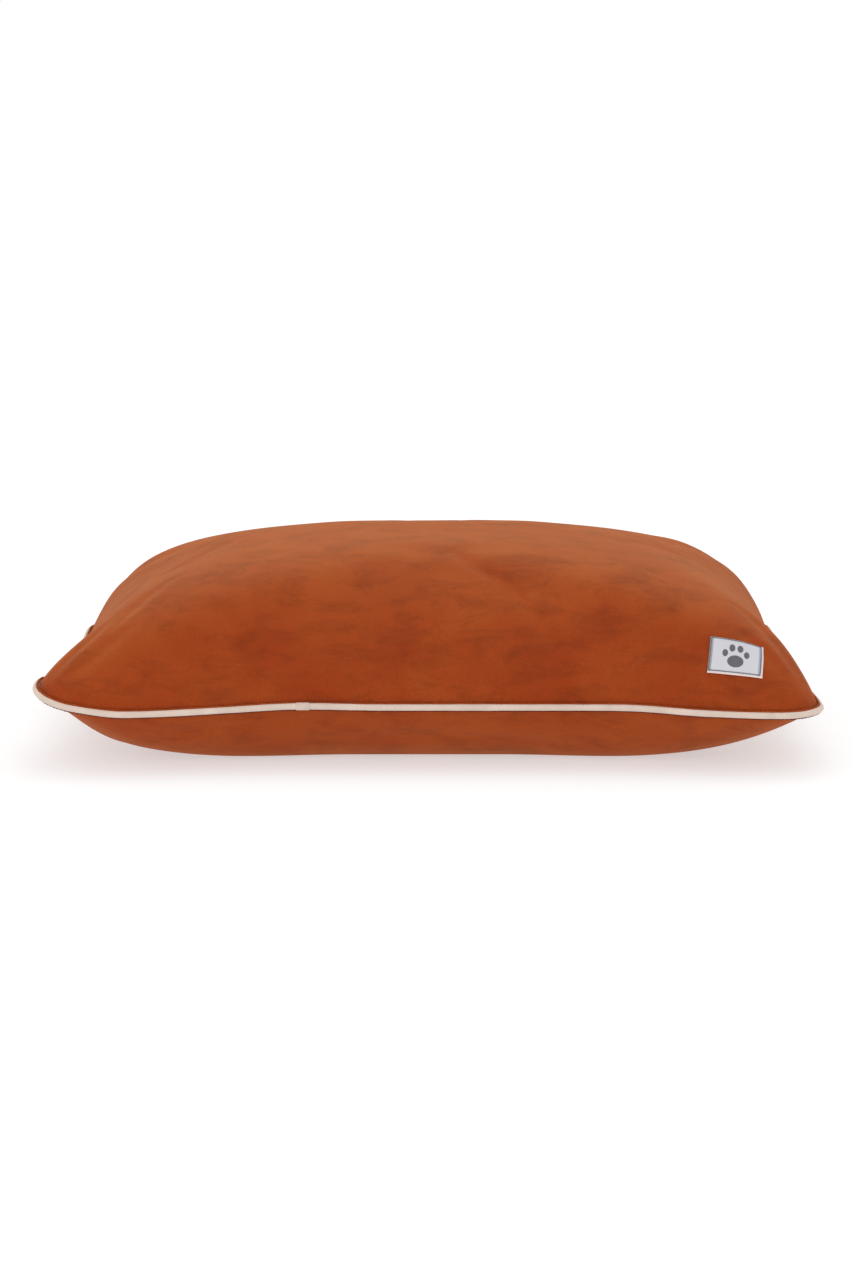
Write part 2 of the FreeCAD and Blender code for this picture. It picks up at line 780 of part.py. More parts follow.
# ================================================================ build
PARTS = {
    "cover_top": cover_top,
    "cover_base": cover_base,
    "cover_seam_overlock": lambda: overlock(seam_allowance, stack_half + cover_cloth),
    "piping_casing": piping_casing,
    "piping_cord": piping_cord,
    "liner_top": lambda: liner_panel(1),
    "liner_base": lambda: liner_panel(-1),
    "liner_seam_overlock": lambda: overlock(
        liner_seam + liner_allowance, layer_gap / 2 + liner_cloth
    ),
    "filling": filling,
    "zip_tape_upper": zip_tape_upper,
    "zip_tape_lower": zip_tape_lower,
    "zip_teeth_upper": lambda: zip_teeth(-1),
    "zip_teeth_lower": lambda: zip_teeth(1),
    "zip_top_stops": zip_top_stops,
    "zip_bottom_stop": zip_bottom_stop,
    "zip_end_tab_left": lambda: zip_end_tab(-1),
    "zip_end_tab_right": lambda: zip_end_tab(1),
    "zip_slider": zip_slider,
    "zip_pull": zip_pull,
    "label_patch": label_patch,
    "label_border": label_border,
    "label_stitches": label_stitches,
    "label_emblem": label_emblem,
    "care_label": care_label,
}


def main():
    os.makedirs("parts", exist_ok=True)
    for name, make in PARTS.items():
        shape = make()
        shape.exportStep(f"parts/{name}.step")
        box = shape.BoundBox
        print(
            f"{name}: {len(shape.Solids)} solids, valid {shape.isValid()}, {shape.Volume / 1000:.2f} cm3,"
            f" x {box.XMin:.1f} {box.XMax:.1f} y {box.YMin:.1f} {box.YMax:.1f}"
            f" z {box.ZMin:.1f} {box.ZMax:.1f}"
        )


main()
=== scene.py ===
# %% [markdown]
# # A piped velvet pet bed, piece by piece
#
# The bed is a big domed pillow. Two velvet panels are sewn together round the edge with a
# corded piping between them. A zip under the piping on the back edge lets the fibre-filled
# inner cushion out. A woven patch is sewn to the front, and a care label hangs at the back.
#
# The frame comes first. It holds the zip, the hidden layers and the true sizes, and the cloth
# is made round it.

# %% Load the frame
import json
import math

import bpy
import numpy as np
from mathutils import Matrix, Vector
from mathutils.bvhtree import BVHTree


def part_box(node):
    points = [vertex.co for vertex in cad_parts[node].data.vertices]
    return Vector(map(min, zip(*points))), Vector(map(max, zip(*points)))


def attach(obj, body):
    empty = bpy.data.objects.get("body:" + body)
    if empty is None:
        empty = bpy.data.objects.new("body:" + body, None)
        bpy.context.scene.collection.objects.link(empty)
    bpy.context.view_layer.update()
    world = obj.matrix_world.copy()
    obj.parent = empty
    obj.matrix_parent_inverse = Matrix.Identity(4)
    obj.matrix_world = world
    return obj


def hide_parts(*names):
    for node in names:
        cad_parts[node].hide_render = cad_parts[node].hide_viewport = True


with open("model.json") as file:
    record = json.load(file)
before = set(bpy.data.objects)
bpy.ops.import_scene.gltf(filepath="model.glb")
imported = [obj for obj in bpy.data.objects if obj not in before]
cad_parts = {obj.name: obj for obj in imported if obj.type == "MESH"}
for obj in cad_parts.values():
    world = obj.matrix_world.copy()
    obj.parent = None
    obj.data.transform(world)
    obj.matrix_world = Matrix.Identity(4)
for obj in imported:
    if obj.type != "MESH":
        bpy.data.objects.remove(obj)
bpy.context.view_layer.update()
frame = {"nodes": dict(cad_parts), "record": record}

# %% [markdown]
# ## Camera, floor and light
#
# The bed is seen from the front and only a little from above, through a long lens from nearly
# four metres away, so that the front edge and the back edge are almost the same length. A
# closer camera with a wide lens would also fit the bed in, but it would bulge the near corners.

# %% Camera
CAMERA_DISTANCE = 3.90
CAMERA_RISE = math.radians(10.5)
CAMERA_FOCAL = 90.0  # mm on a 36 mm frame
CAMERA_AIM = Vector((-0.0021, 0.0, 0.0973))



def new_object(name, data):
    """An object that shows the given data."""
    made = bpy.data.objects.new(name, data)
    bpy.context.scene.collection.objects.link(made)
    return made


camera = new_object("camera", bpy.data.cameras.new("camera"))
camera.data.lens = CAMERA_FOCAL
looking = Vector((0.0, math.cos(CAMERA_RISE), -math.sin(CAMERA_RISE)))
camera.location = CAMERA_AIM - looking * CAMERA_DISTANCE
camera.rotation_euler = looking.to_track_quat("-Z", "Y").to_euler()
bpy.context.scene.camera = camera

# %% [markdown]
# A pale floor that runs far past the bed has no visible edge. It glows a little by itself, like
# a lit light table, so that it reads as white paper and the shadow stays soft and pale. One wide
# light overhead and slightly behind puts a sheen on the crown, and one in front fills the face.

# %% Floor and lights
bpy.context.scene.view_settings.view_transform = "Standard"
WHITE, PAPER_GLOW = (1.0, 1.0, 1.0, 1.0), 0.52


def select_only(*pieces):
    """Selects these objects and nothing else."""
    bpy.ops.object.select_all(action="DESELECT")
    for piece in pieces:
        piece.select_set(True)
        bpy.context.view_layer.objects.active = piece


def feed(tree, node, inputs):
    """Gives a node's inputs plain values, or links from other nodes' outputs."""
    for key, value in inputs.items():
        if isinstance(value, bpy.types.NodeSocket):
            tree.links.new(value, node.inputs[key])
        else:
            node.inputs[key].default_value = value


select_only()
bpy.ops.mesh.primitive_plane_add(size=40.0)
floor = bpy.context.object
floor.name = "studio_floor"
paper = bpy.data.materials.new("studio_paper")
paper.use_nodes = True
shader = paper.node_tree.nodes["Principled BSDF"]
feed(paper.node_tree, shader, {"Base Color": (0.5, 0.5, 0.5, 1.0), "Roughness": 0.9})
feed(paper.node_tree, shader, {"Emission Color": WHITE, "Emission Strength": PAPER_GLOW})
floor.data.materials.append(paper)

world = bpy.data.worlds.new("studio")
world.use_nodes = True
feed(world.node_tree, world.node_tree.nodes["Background"], {"Color": WHITE, "Strength": 1.0})
bpy.context.scene.world = world


LIGHT_AIM = Vector((0.0, 0.0, 0.1))


def soft_light(name, place, size, power):
    """A square area light that points at the bed."""
    light = new_object(name, bpy.data.lights.new(name, "AREA"))
    light.data.size = size
    light.data.energy = power
    light.location = place
    light.rotation_euler = (LIGHT_AIM - Vector(place)).to_track_quat("-Z", "Y").to_euler()


soft_light("overhead", (0.2, 0.9, 2.4), 1.8, 5.0)
soft_light("front_fill", (-1.2, -3.2, 1.2), 1.6, 13.0)

# %% [markdown]
# ## The seam line
#
# Everything soft hangs on one line, the seam round the edge. Its half sizes come from the
# frame. Its sides pull in between the corners, as they do on any stuffed pillow, and the back
# stays straight where the zip is. The two front corners aren't quite alike: the left one curls
# up off the floor and the right one lies a little lower.

# %% Seam line
CROWN_SPARE = 0.0075  # the drape lifts the crown by about this much
seam_half_x, seam_half_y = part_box("cover_top")[1][:2]
crown_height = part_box("cover_top")[1].z - CROWN_SPARE
casing_low, casing_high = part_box("piping_casing")
seam_height = (casing_low.z + casing_high.z) / 2
piping_radius = (casing_high.z - casing_low.z) / 2

CORNER_RADIUS = 0.045
FRONT_PULL, BACK_PULL, SIDE_PULL = 0.022, 0.016, 0.015
FRONT_STRAIGHT, BACK_STRAIGHT, SIDE_STRAIGHT = 0.40, 0.84, 0.20
LEFT_NARROWING, RIGHT_NARROWING = 0.025, 0.017  # how far the back corners are drawn in
ZIP_KEEPS = 0.29  # out to here the back seam is left alone
CURL_RISE, CURL_BEHIND, CURL_REACH = 0.021, 0.062, 0.120  # of the left front corner
BACK_DROP, FRONT_SAG = 0.016, 0.0045


def fade(share, straight):
    """1 along the straight middle of a side, falling smoothly to 0 at its corners."""
    beyond = np.clip((np.abs(share) - straight) / (1 - straight), 0, 1)
    return 0.5 * (1 + np.cos(np.pi * beyond))


def side_curve(share, half_run, radius):
    """Along and across a side that ends in the middle of a rounded corner, for share -1 to 1."""
    run = half_run - radius
    along = np.abs(share) * (run + radius * math.pi / 4)
    turn = np.clip((along - run) / radius, 0, math.pi / 4)
    reach = np.where(along < run, along, run + radius * np.sin(turn))
    return np.sign(share) * reach, radius * (1 - np.cos(turn)), np.minimum(along / run, 1)


def outline(u, v, half_x, half_y, radius, pull):
    """Plan position of points on a square of half size 1, wrapped onto the bed's outline."""
    on_long = np.abs(v) >= np.abs(u)
    size = np.maximum(np.maximum(np.abs(u), np.abs(v)), 1e-9)
    x_long, in_long, at_long = side_curve(u / size, half_x, radius)
    y_short, in_short, at_short = side_curve(v / size, half_y, radius)
    front_pull = FRONT_PULL * fade(at_long, FRONT_STRAIGHT)
    back_pull = BACK_PULL * fade(at_long, BACK_STRAIGHT)
    long_pull = np.where(v < 0, front_pull, back_pull)
    y_long = np.sign(v) * (half_y - in_long - pull * long_pull)
    x_short = np.sign(u) * (half_x - in_short - pull * SIDE_PULL * fade(at_short, SIDE_STRAIGHT))
    x, y = np.where(on_long, x_long, x_short), np.where(on_long, y_long, y_short)
    near_end = np.clip((np.abs(x) - ZIP_KEEPS) / (seam_half_x - ZIP_KEEPS), 0, 1) ** 2
    near_back = np.clip(y / seam_half_y, 0, 1) ** 2
    narrowing = np.where(x < 0, -LEFT_NARROWING, RIGHT_NARROWING)
    return x - narrowing * near_end * near_back, y


def bump(distance, width):
    """A smooth hill, 1 at no distance and 0 from the given width on."""
    return 0.5 * (1 + np.cos(np.pi * np.clip(np.abs(distance) / width, 0, 1)))


def seam_lift(x, y):
    """How far the seam rises above or sags below its level, so that the corners differ."""
    curl_y = y + seam_half_y - CURL_BEHIND
    left = CURL_RISE * bump(np.hypot(x + seam_half_x, curl_y), CURL_REACH)
    right = -0.001 * bump(np.hypot(x - seam_half_x, y + seam_half_y), CURL_REACH)
    back = -BACK_DROP * bump(np.hypot(np.abs(x) - seam_half_x, y - seam_half_y), 0.14)
    sag = -FRONT_SAG * (bump(x - 0.37, 0.20) + bump(x + 0.33, 0.20))
    wave = 0.0012 * bump(x - 0.24, 0.07) + 0.0014 * bump(x + 0.14, 0.09)
    ahead = 1 - bump(np.minimum(y, 0), 0.20)
    return left + right + back + ahead * (sag + wave)


# %% [markdown]
# ## The velvet cover
#
# A stuffed pillow isn't a box or a ball. It rises steeply from its seam, rolls over a shoulder
# and is nearly level across the crown, and every level line is a rounder copy of the seam.
# Sculpting that by hand is slow, and cutting it from a sphere leaves poles. A flat grid that is
# wrapped onto the outline, ring by ring, and then lifted gives even quads that drape well.

# %% Shape of the two panels
CELLS_X, CELLS_Y = 120, 88
CROWN_POWER, CROWN_ROUND = 3.83, 1.25
CROWN_END = 0.94
CROWN_SLUMP = 0.010  # the filling has slid towards the end with the patch
BASE_CONTACT = 0.105  # seam line to the part that lies on the floor
BASE_ROUND = 1.75
EDGE_CROWDING = 0.35  # how much closer together the rings are near the seam


def square_grid():
    """Corners of a square grid from -1 to 1, as two flat arrays."""
    across, along = np.meshgrid(np.linspace(-1, 1, CELLS_X + 1), np.linspace(-1, 1, CELLS_Y + 1))
    return across.ravel(), along.ravel()


def level_line(u, v):
    """Plan position on the seam's smaller, rounder copies, and how far out from the middle."""
    out = np.maximum(np.abs(u), np.abs(v))
    size = out + EDGE_CROWDING * out * (1 - out)
    half_x, half_y = seam_half_x * size, seam_half_y * size
    smaller = np.minimum(half_x, half_y)
    radius = np.clip(CORNER_RADIUS + 0.62 * seam_half_y * (1 - size), 1e-5, 0.98 * smaller + 1e-5)
    x, y = outline(u, v, half_x, half_y, radius, size ** 3)
    return x, y, size


def dome_points():
    """The top panel: from the seam up to the crown."""
    x, y, size = level_line(*square_grid())
    share = np.clip((1 - size) / CROWN_END, 0, 1)
    rise = (1 - (1 - share) ** CROWN_POWER) ** (1 / CROWN_ROUND)
    lift = seam_lift(x, y) * size ** 6 * (1 - rise)
    height = seam_height + (crown_height - seam_height) * rise + lift
    return np.stack([x + CROWN_SLUMP * rise, y, height], axis=-1)


def belly_points():
    """The base panel: from the seam down and in to the floor."""
    x, y, size = level_line(*square_grid())
    inwards = (1 - size) * seam_half_y
    share = np.clip(1 - inwards / BASE_CONTACT, 0, 1)
    drop = share ** BASE_ROUND
    return np.stack([x, y, (seam_height + seam_lift(x, y)) * drop], axis=-1)


print("crown", round(dome_points()[:, 2].max(), 4), "seam", round(seam_height, 4))

# %% [markdown]
# The two panels are welded along the seam and blown up gently, as a cushion is when it is
# stuffed. The seam is held, because the piping and its cord hold it on the real bed. So is the
# part that lies on the floor, and the strip beside the zip, which its stiff tapes keep flat. The
# cloth is cut a little larger than the shape it has to fill, so the slack gathers into soft
# folds along the seam and at the corners. How far a point may move is limited, because the size
# of the bed is already right.

# %% Drape the cover
SLACK_AT_SEAM = -0.045  # negative shrinkage is extra cloth
DRAPE_FRAMES = 24
DRAPE_LIMIT = 0.011


def grid_faces(first, flipped):
    """Quads of one square grid whose points start at the given index."""
    wide = CELLS_X + 1
    quads = []
    for row in range(CELLS_Y):
        for column in range(CELLS_X):
            a = first + row * wide + column
            quad = (a, a + 1, a + wide + 1, a + wide)
            quads.append(quad[::-1] if flipped else quad)
    return quads


def rim_mask():
    """True for the grid's points that lie on the seam."""
    u, v = square_grid()
    return np.maximum(np.abs(u), np.abs(v)) > 1 - 1e-6


def welded_pillow(top, base):
    """One closed mesh of both panels, and for each panel the place of its points in it."""
    rim = rim_mask()
    count = len(top)
    own = np.cumsum(~rim) - 1 + count
    base_index = np.where(rim, np.arange(count), own)
    points = np.concatenate([top, base[~rim]])
    quads = grid_faces(0, False)
    quads += [tuple(int(base_index[k]) for k in quad) for quad in grid_faces(0, True)]
    mesh = bpy.data.meshes.new("pillow")
    mesh.from_pydata([tuple(p) for p in points], [], quads)
    mesh.update()
    return mesh, np.arange(count), base_index


def mesh_points(mesh):
    """A mesh's points as an array."""
    flat = np.empty(3 * len(mesh.vertices))
    mesh.vertices.foreach_get("co", flat)
    return flat.reshape(-1, 3)


def drape(top, base):
    """The two panels after the cloth has settled over its filling."""
    mesh, top_index, base_index = welded_pillow(top, base)
    pillow = new_object("pillow", mesh)
    start = mesh_points(mesh)
    held = pillow.vertex_groups.new(name="held")
    held.add([int(k) for k in top_index[rim_mask()]], 1.0, "REPLACE")
    on_floor = base[:, 2] < 1e-5
    at_zip = (base[:, 1] > 0.24) & (np.abs(base[:, 0]) < 0.31) & (base[:, 2] > 0.03)
    held.add([int(k) for k in base_index[on_floor | at_zip]], 1.0, "REPLACE")
    slack = pillow.vertex_groups.new(name="slack")
    u, v = square_grid()
    near_seam = np.clip(1.25 * np.maximum(np.abs(u), np.abs(v)) - 0.25, 0, 1) ** 2
    for k, weight in enumerate(near_seam):
        slack.add([int(top_index[k]), int(base_index[k])], float(weight), "REPLACE")
    cloth = pillow.modifiers.new("cloth", "CLOTH")
    settings = cloth.settings
    settings.quality = 6
    settings.mass = 0.25
    settings.tension_stiffness = settings.compression_stiffness = 20.0
    settings.shear_stiffness = 8.0
    settings.bending_stiffness = 0.6
    settings.use_pressure = True
    settings.uniform_pressure_force = 1.2
    settings.vertex_group_mass = "held"
    settings.vertex_group_shrink = "slack"
    settings.shrink_min = 0.0
    settings.shrink_max = SLACK_AT_SEAM
    settings.effector_weights.gravity = 0.0
    cloth.collision_settings.use_collision = False
    cloth.point_cache.frame_start, cloth.point_cache.frame_end = 1, DRAPE_FRAMES
    for frame_number in range(1, DRAPE_FRAMES + 1):
        bpy.context.scene.frame_set(frame_number)
    graph = bpy.context.evaluated_depsgraph_get()
    settled = mesh_points(pillow.evaluated_get(graph).data)
    bpy.data.objects.remove(pillow)
    bpy.context.scene.frame_set(1)
    move = settled - start
    far = np.linalg.norm(move, axis=1, keepdims=True)
    limited = start + move * np.minimum(1, DRAPE_LIMIT / np.maximum(far, 1e-9))
    limited[:, 2] = np.maximum(limited[:, 2], 0.0)
    print("drape moved the cloth by up to", round(float(far.max()), 4))
    return limited[top_index], limited[base_index]


top_points, base_points = dome_points(), belly_points()
top_points, base_points = drape(top_points, base_points)

# %% [markdown]
# ## Materials
#
# Velvet is short pile on a woven back. It has hardly any gloss, glows where it is seen edge on,
# and looks lighter or darker wherever a hand has brushed the pile another way. So the colour
# is mottled at two sizes, the sheen does the glow, and fine noise stands for the pile itself.
# A smooth plastic red with a bump map would look like paint.
#
# What several cloths share, the brushed pile and the plain weave, is a group of its own, which
# gives masks and heights and leaves the rest to each material.

# %% Shader helpers


def new_node(tree, kind, inputs=None, **settings):
    """A shader node with its settings and inputs given."""
    node = tree.nodes.new(kind)
    for key, value in settings.items():
        setattr(node, key, value)
    feed(tree, node, inputs or {})
    return node


def new_group(name, inputs, outputs):
    """An empty shader group with named sockets: {name: (socket kind, default)} and {name: kind}."""
    group = bpy.data.node_groups.new(name, "ShaderNodeTree")
    for key, (kind, value) in inputs.items():
        socket = group.interface.new_socket(key, in_out="INPUT", socket_type=kind)
        if value is not None:
            socket.default_value = value
    for key, kind in outputs.items():
        group.interface.new_socket(key, in_out="OUTPUT", socket_type=kind)
    return group, group.nodes.new("NodeGroupInput").outputs, group.nodes.new("NodeGroupOutput")


def math_node(tree, operation, *values):
    """The result of a math node fed by sockets or plain numbers."""
    return new_node(tree, "ShaderNodeMath", dict(enumerate(values)), operation=operation).outputs[0]


def ranged(tree, value, low, high, to_low=0.0, to_high=1.0):
    """A value brought from one range to another, and held inside it."""
    inputs = {"Value": value, "From Min": low, "From Max": high, "To Min": to_low, "To Max": to_high}
    return new_node(tree, "ShaderNodeMapRange", inputs, clamp=True).outputs["Result"]


def mixed_colour(tree, factor, first, second):
    """A mix of two colours, each a socket or a plain colour."""
    inputs = {"Factor": factor, "A": first, "B": second}
    mix = new_node(tree, "ShaderNodeMix", inputs, data_type="RGBA", clamp_factor=True)
    return mix.outputs["Result"]


def bumped(tree, height, strength, distance):
    """Normals from a height."""
    inputs = {"Height": height, "Strength": strength, "Distance": distance}
    return new_node(tree, "ShaderNodeBump", inputs).outputs["Normal"]


def blank_material(name):
    """A new material, its node tree, its shader and its texture coordinates."""
    material = bpy.data.materials.new(name)
    material.use_nodes = True
    tree = material.node_tree
    return material, tree, tree.nodes["Principled BSDF"], tree.nodes.new("ShaderNodeTexCoord").outputs


# %% Shared group: brushed pile
FLOAT, VECTOR = "NodeSocketFloat", "NodeSocketVector"
STREAK_SHAPE = (0.70, 0.9, 1.7)  # longer level than upright
STREAKS_PER_SWEEP = 2.6


def noise(tree, place, scale, detail, roughness, distortion=0.0):
    """Noise from 0 to 1, with so many patches to a metre."""
    inputs = {"Vector": place, "Scale": scale, "Detail": detail}
    inputs.update({"Roughness": roughness, "Distortion": distortion})
    return new_node(tree, "ShaderNodeTexNoise", inputs).outputs["Fac"]


def pile_group():
    """Where the pile leans another way, where it is crushed in streaks, and its tufts' height."""
    group, given, result = new_group(
        "brushed_pile",
        {"Vector": (VECTOR, None), "Sweep Size": (FLOAT, 0.10), "Tuft Size": (FLOAT, 0.0012)},
        {"Brushed": FLOAT, "Smudged": FLOAT, "Tufts": FLOAT},
    )
    place, sweep_size = given["Vector"], given["Sweep Size"]
    sweeps = noise(group, place, math_node(group, "DIVIDE", 1.0, sweep_size), 3.0, 0.55, 0.6)
    flatter = new_node(group, "ShaderNodeVectorMath", {0: place, 1: STREAK_SHAPE}, operation="MULTIPLY")
    streak_scale = math_node(group, "DIVIDE", STREAKS_PER_SWEEP, sweep_size)
    streaks = noise(group, flatter.outputs["Vector"], streak_scale, 5.0, 0.70, 0.5)
    tufts = noise(group, place, math_node(group, "DIVIDE", 1.0, given["Tuft Size"]), 2.0, 0.6)
    brushed, smudged = ranged(group, sweeps, 0.36, 0.66), ranged(group, streaks, 0.47, 0.70)
    feed(group, result, {"Brushed": brushed, "Smudged": smudged, "Tufts": tufts})
    return group


# %% Shared group: plain weave


def weave_group():
    """Threads over and under each other in two directions, from a flat pair of coordinates."""
    group, given, result = new_group(
        "plain_weave",
        {"Vector": (VECTOR, None), "Thread": (FLOAT, 0.0005)},
        {"Height": FLOAT, "Gap": FLOAT},
    )
    split = new_node(group, "ShaderNodeSeparateXYZ", {"Vector": given["Vector"]}).outputs
    turns = [math_node(group, "DIVIDE", split[k], given["Thread"]) for k in range(2)]
    angles = [math_node(group, "MULTIPLY", turn, math.pi) for turn in turns]
    waves = [math_node(group, "SINE", angle) for angle in angles]
    crossing = math_node(group, "MULTIPLY", *waves)
    lowest = math_node(group, "MINIMUM", *[math_node(group, "ABSOLUTE", wave) for wave in waves])
    height = math_node(group, "MULTIPLY_ADD", crossing, 0.5, lowest)
    gap = ranged(group, lowest, 0.0, 0.25, 1.0, 0.0)
    feed(group, result, {"Height": height, "Gap": gap})
    return group


PILE, WEAVE = pile_group(), weave_group()

# %% [markdown]
# The velvet itself. The two colours are the same rust, one with the pile leaning away and one
# with it brushed up. The crown faces the light and looks paler, so a little of the paler
# colour is also mixed onto the upward faces as a painted highlight. Where the pile is crushed
# it shows as darker streaks. The fold under the piping gets a near-black copy of the velvet as
# painted shade, and the base panel gets a lighter copy, painted light that lifts its shade.

# %% Velvet
DEEP_RUST, PALE_RUST = (0.282, 0.037, 0.0055, 1.0), (0.370, 0.073, 0.013, 1.0)
CRUSHED_RUST = (0.165, 0.026, 0.0052, 1.0)
# painted light: a lighter copy of the rust for the base panel, to lift the shade under the bed
LIGHTENED_UNDERSIDE_RUST = (0.305, 0.047, 0.0085, 1.0)
# painted shade: near-black rust for the fold under the piping, where the shadow lies
FOLD_SHADE_RUST = (0.085, 0.010, 0.0045, 1.0)
SHEEN_TINT = (1.0, 0.50, 0.20, 1.0)


def velvet(name, deep, sheen, pale=PALE_RUST):
    """Short crushed pile in one colour of rust, with a painted highlight on faces that point up."""
    material, tree, shader, place = blank_material(name)
    pile = new_node(tree, "ShaderNodeGroup", {"Vector": place["Object"]}, node_tree=PILE).outputs
    upward = new_node(tree, "ShaderNodeSeparateXYZ", {"Vector": place["Normal"]}).outputs["Z"]
    # painted highlight: faces that point up are mixed towards the paler rust, as the lit crown looks
    lit = ranged(tree, upward, 0.58, 1.0, 0.0, 0.55)
    tufts_and_lit_top = math_node(tree, "MULTIPLY_ADD", pile["Tufts"], 1.20, lit)
    share = math_node(tree, "MULTIPLY_ADD", pile["Brushed"], 0.42, tufts_and_lit_top)
    # the paler share holds the brushed pile and the tufts, and also the painted highlight on top
    brushed = mixed_colour(tree, math_node(tree, "SUBTRACT", share, 0.60), deep, pale)
    crushed = math_node(tree, "MULTIPLY", pile["Smudged"], 0.55)
    colour = mixed_colour(tree, crushed, brushed, CRUSHED_RUST)
    feed(tree, shader, {"Base Color": colour, "Normal": bumped(tree, pile["Tufts"], 0.6, 0.0008)})
    feed(tree, shader, {"Roughness": 0.92, "Specular IOR Level": 0.12})
    feed(tree, shader, {"Sheen Weight": sheen, "Sheen Roughness": 0.42, "Sheen Tint": SHEEN_TINT})
    return material


VELVET = velvet("rust_velvet", DEEP_RUST, 0.30)
# the base panel's velvet is lighter than the top's, as painted light for its shaded side
VELVET_BELOW = velvet("rust_velvet_below", LIGHTENED_UNDERSIDE_RUST, 0.25)
# painted shade: the fold under the piping is a near-black copy of the velvet
SHADED_FOLD_VELVET = velvet("painted_fold_shade_velvet", FOLD_SHADE_RUST, 0.05, pale=CRUSHED_RUST)

# %% [markdown]
# The other cloths are woven: the piping's casing, the liner, the zip's tape and the satin of
# the labels. One function makes them all, from a colour, a thread size and how shiny the
# thread is. Their weave lies in each piece's own UV map. On the tubes and the flat pieces that
# map is laid out in metres, so that the threads keep their size and follow the piece round its
# bends; the liner, the filling and the lap keep the map they were made with.

# %% Woven cloths


def woven(name, colour, thread, roughness, relief, sheen=0.1, vary=0.36):
    """Plain woven cloth whose threads lie along the piece's own UV map."""
    material, tree, shader, place = blank_material(name)
    inputs = {"Vector": place["UV"], "Thread": thread}
    weave = new_node(tree, "ShaderNodeGroup", inputs, node_tree=WEAVE).outputs
    inputs = {"Vector": place["Object"], "Sweep Size": 0.04, "Tuft Size": 0.001}
    uneven = new_node(tree, "ShaderNodeGroup", inputs, node_tree=PILE).outputs["Brushed"]
    # painted shade: the gaps between the threads are darkened as shaded; the rest of the darkening is
    # random unevenness
    gaps = math_node(tree, "MULTIPLY", weave["Gap"], 0.5)
    darker = (*[c * (1 - vary) for c in colour], 1.0)
    darkness = math_node(tree, "MULTIPLY_ADD", uneven, 0.35, gaps)
    shade = mixed_colour(tree, darkness, (*colour, 1.0), darker)
    feed(tree, shader, {"Base Color": shade, "Normal": bumped(tree, weave["Height"], 0.6, relief)})
    feed(tree, shader, {"Roughness": roughness, "Sheen Weight": sheen, "Specular IOR Level": 0.25})
    return material


PIPING_CLOTH = woven("piping_cloth", (0.74, 0.60, 0.51), 0.0006, 0.85, 0.0002, 0.15)
LINER_CLOTH = woven("liner_cloth", (0.78, 0.78, 0.76), 0.0008, 0.85, 0.0001)
FIBRE_FILL = woven("fibre_fill", (0.90, 0.90, 0.88), 0.004, 0.95, 0.0006, 0.3)
ZIP_TAPE = woven("zip_tape", (0.20, 0.045, 0.016), 0.0007, 0.75, 0.0002)
THREAD = woven("rust_thread", (0.30, 0.06, 0.02), 0.0005, 0.7, 0.0001)
PATCH_THREAD = woven("patch_thread", (0.55, 0.53, 0.55), 0.0004, 0.6, 0.0001)
CARE_SATIN = woven("care_satin", (0.80, 0.79, 0.77), 0.0003, 0.45, 0.00005)
CORD_COTTON = woven("cord_cotton", (0.80, 0.77, 0.70), 0.0009, 0.9, 0.0003)

# %% [markdown]
# Two hard materials are left, both on the zip: a nylon coil dyed to match the tape, and the
# lacquered metal of the slider, worn a little paler where fingers rub it.

# %% Coil and metal


def solid_finish(name, colour, roughness, metallic, worn):
    """A hard finish whose colour and gloss drift a little, with paler rubbed spots."""
    material, tree, shader, place = blank_material(name)
    inputs = {"Vector": place["Object"], "Sweep Size": 0.006, "Tuft Size": 0.0006}
    rubbed = new_node(tree, "ShaderNodeGroup", inputs, node_tree=PILE).outputs
    paler = (*[min(1.0, c * (1 + worn)) for c in colour], 1.0)
    share = math_node(tree, "MULTIPLY", rubbed["Brushed"], 0.6)
    gloss = ranged(tree, rubbed["Tufts"], 0.0, 1.0, roughness, roughness + 0.15)
    shade = mixed_colour(tree, share, (*colour, 1.0), paler)
    feed(tree, shader, {"Base Color": shade, "Roughness": gloss, "Metallic": metallic})
    return material


ZIP_COIL = solid_finish("nylon_coil", (0.20, 0.055, 0.025), 0.38, 0.0, 0.3)
ZIP_METAL = solid_finish("antique_metal", (0.40, 0.25, 0.16), 0.30, 0.9, 0.5)
print("materials", len(bpy.data.materials))


# %% [markdown]
# ## The velvet panels
#
# Each panel is a grid again, pressed onto the settled shape and smoothed once. The stitches
# gather the cloth along the seam, so a row of small puckers is pushed into it there, deepest
# next to the piping and gone a few centimetres away from it. A bump map alone would leave the
# panel's edge straight beside the piping, and the eye looks for the gathers just there.

# %% Panel helpers
CLOTH = 0.0012


def finish_piece(piece, material, slot, *nodes):
    """Colours a piece of the cushion, hangs it on the cushion's body, and hides the CAD nodes it stands
    for.
    """
    piece.data.materials.clear()
    piece.data.materials.append(material)
    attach(piece, "cushion")
    if nodes:
        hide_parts(*nodes)
    return piece


def flip_all(piece):
    """Turns a piece's faces over."""
    bpy.ops.object.mode_set(mode="EDIT")
    bpy.ops.mesh.select_all(action="SELECT")
    bpy.ops.mesh.flip_normals()
    bpy.ops.object.mode_set(mode="OBJECT")


def smooth_once(piece):
    """One round of subdivision, applied."""
    smooth = piece.modifiers.new("smooth", "SUBSURF")
    smooth.levels = smooth.render_levels = 1
    bpy.ops.object.modifier_apply(modifier=smooth.name)


def grid_piece(name, points, flipped):
    """An even sheet over the given points, with its outside facing out."""
    select_only()
    bpy.ops.mesh.primitive_grid_add(x_subdivisions=CELLS_X, y_subdivisions=CELLS_Y, size=2.0)
    sheet = bpy.context.object
    sheet.name = name
    sheet.data.vertices.foreach_set("co", np.asarray(points).ravel())
    if flipped:
        flip_all(sheet)
    bpy.ops.object.shade_smooth()
    return sheet


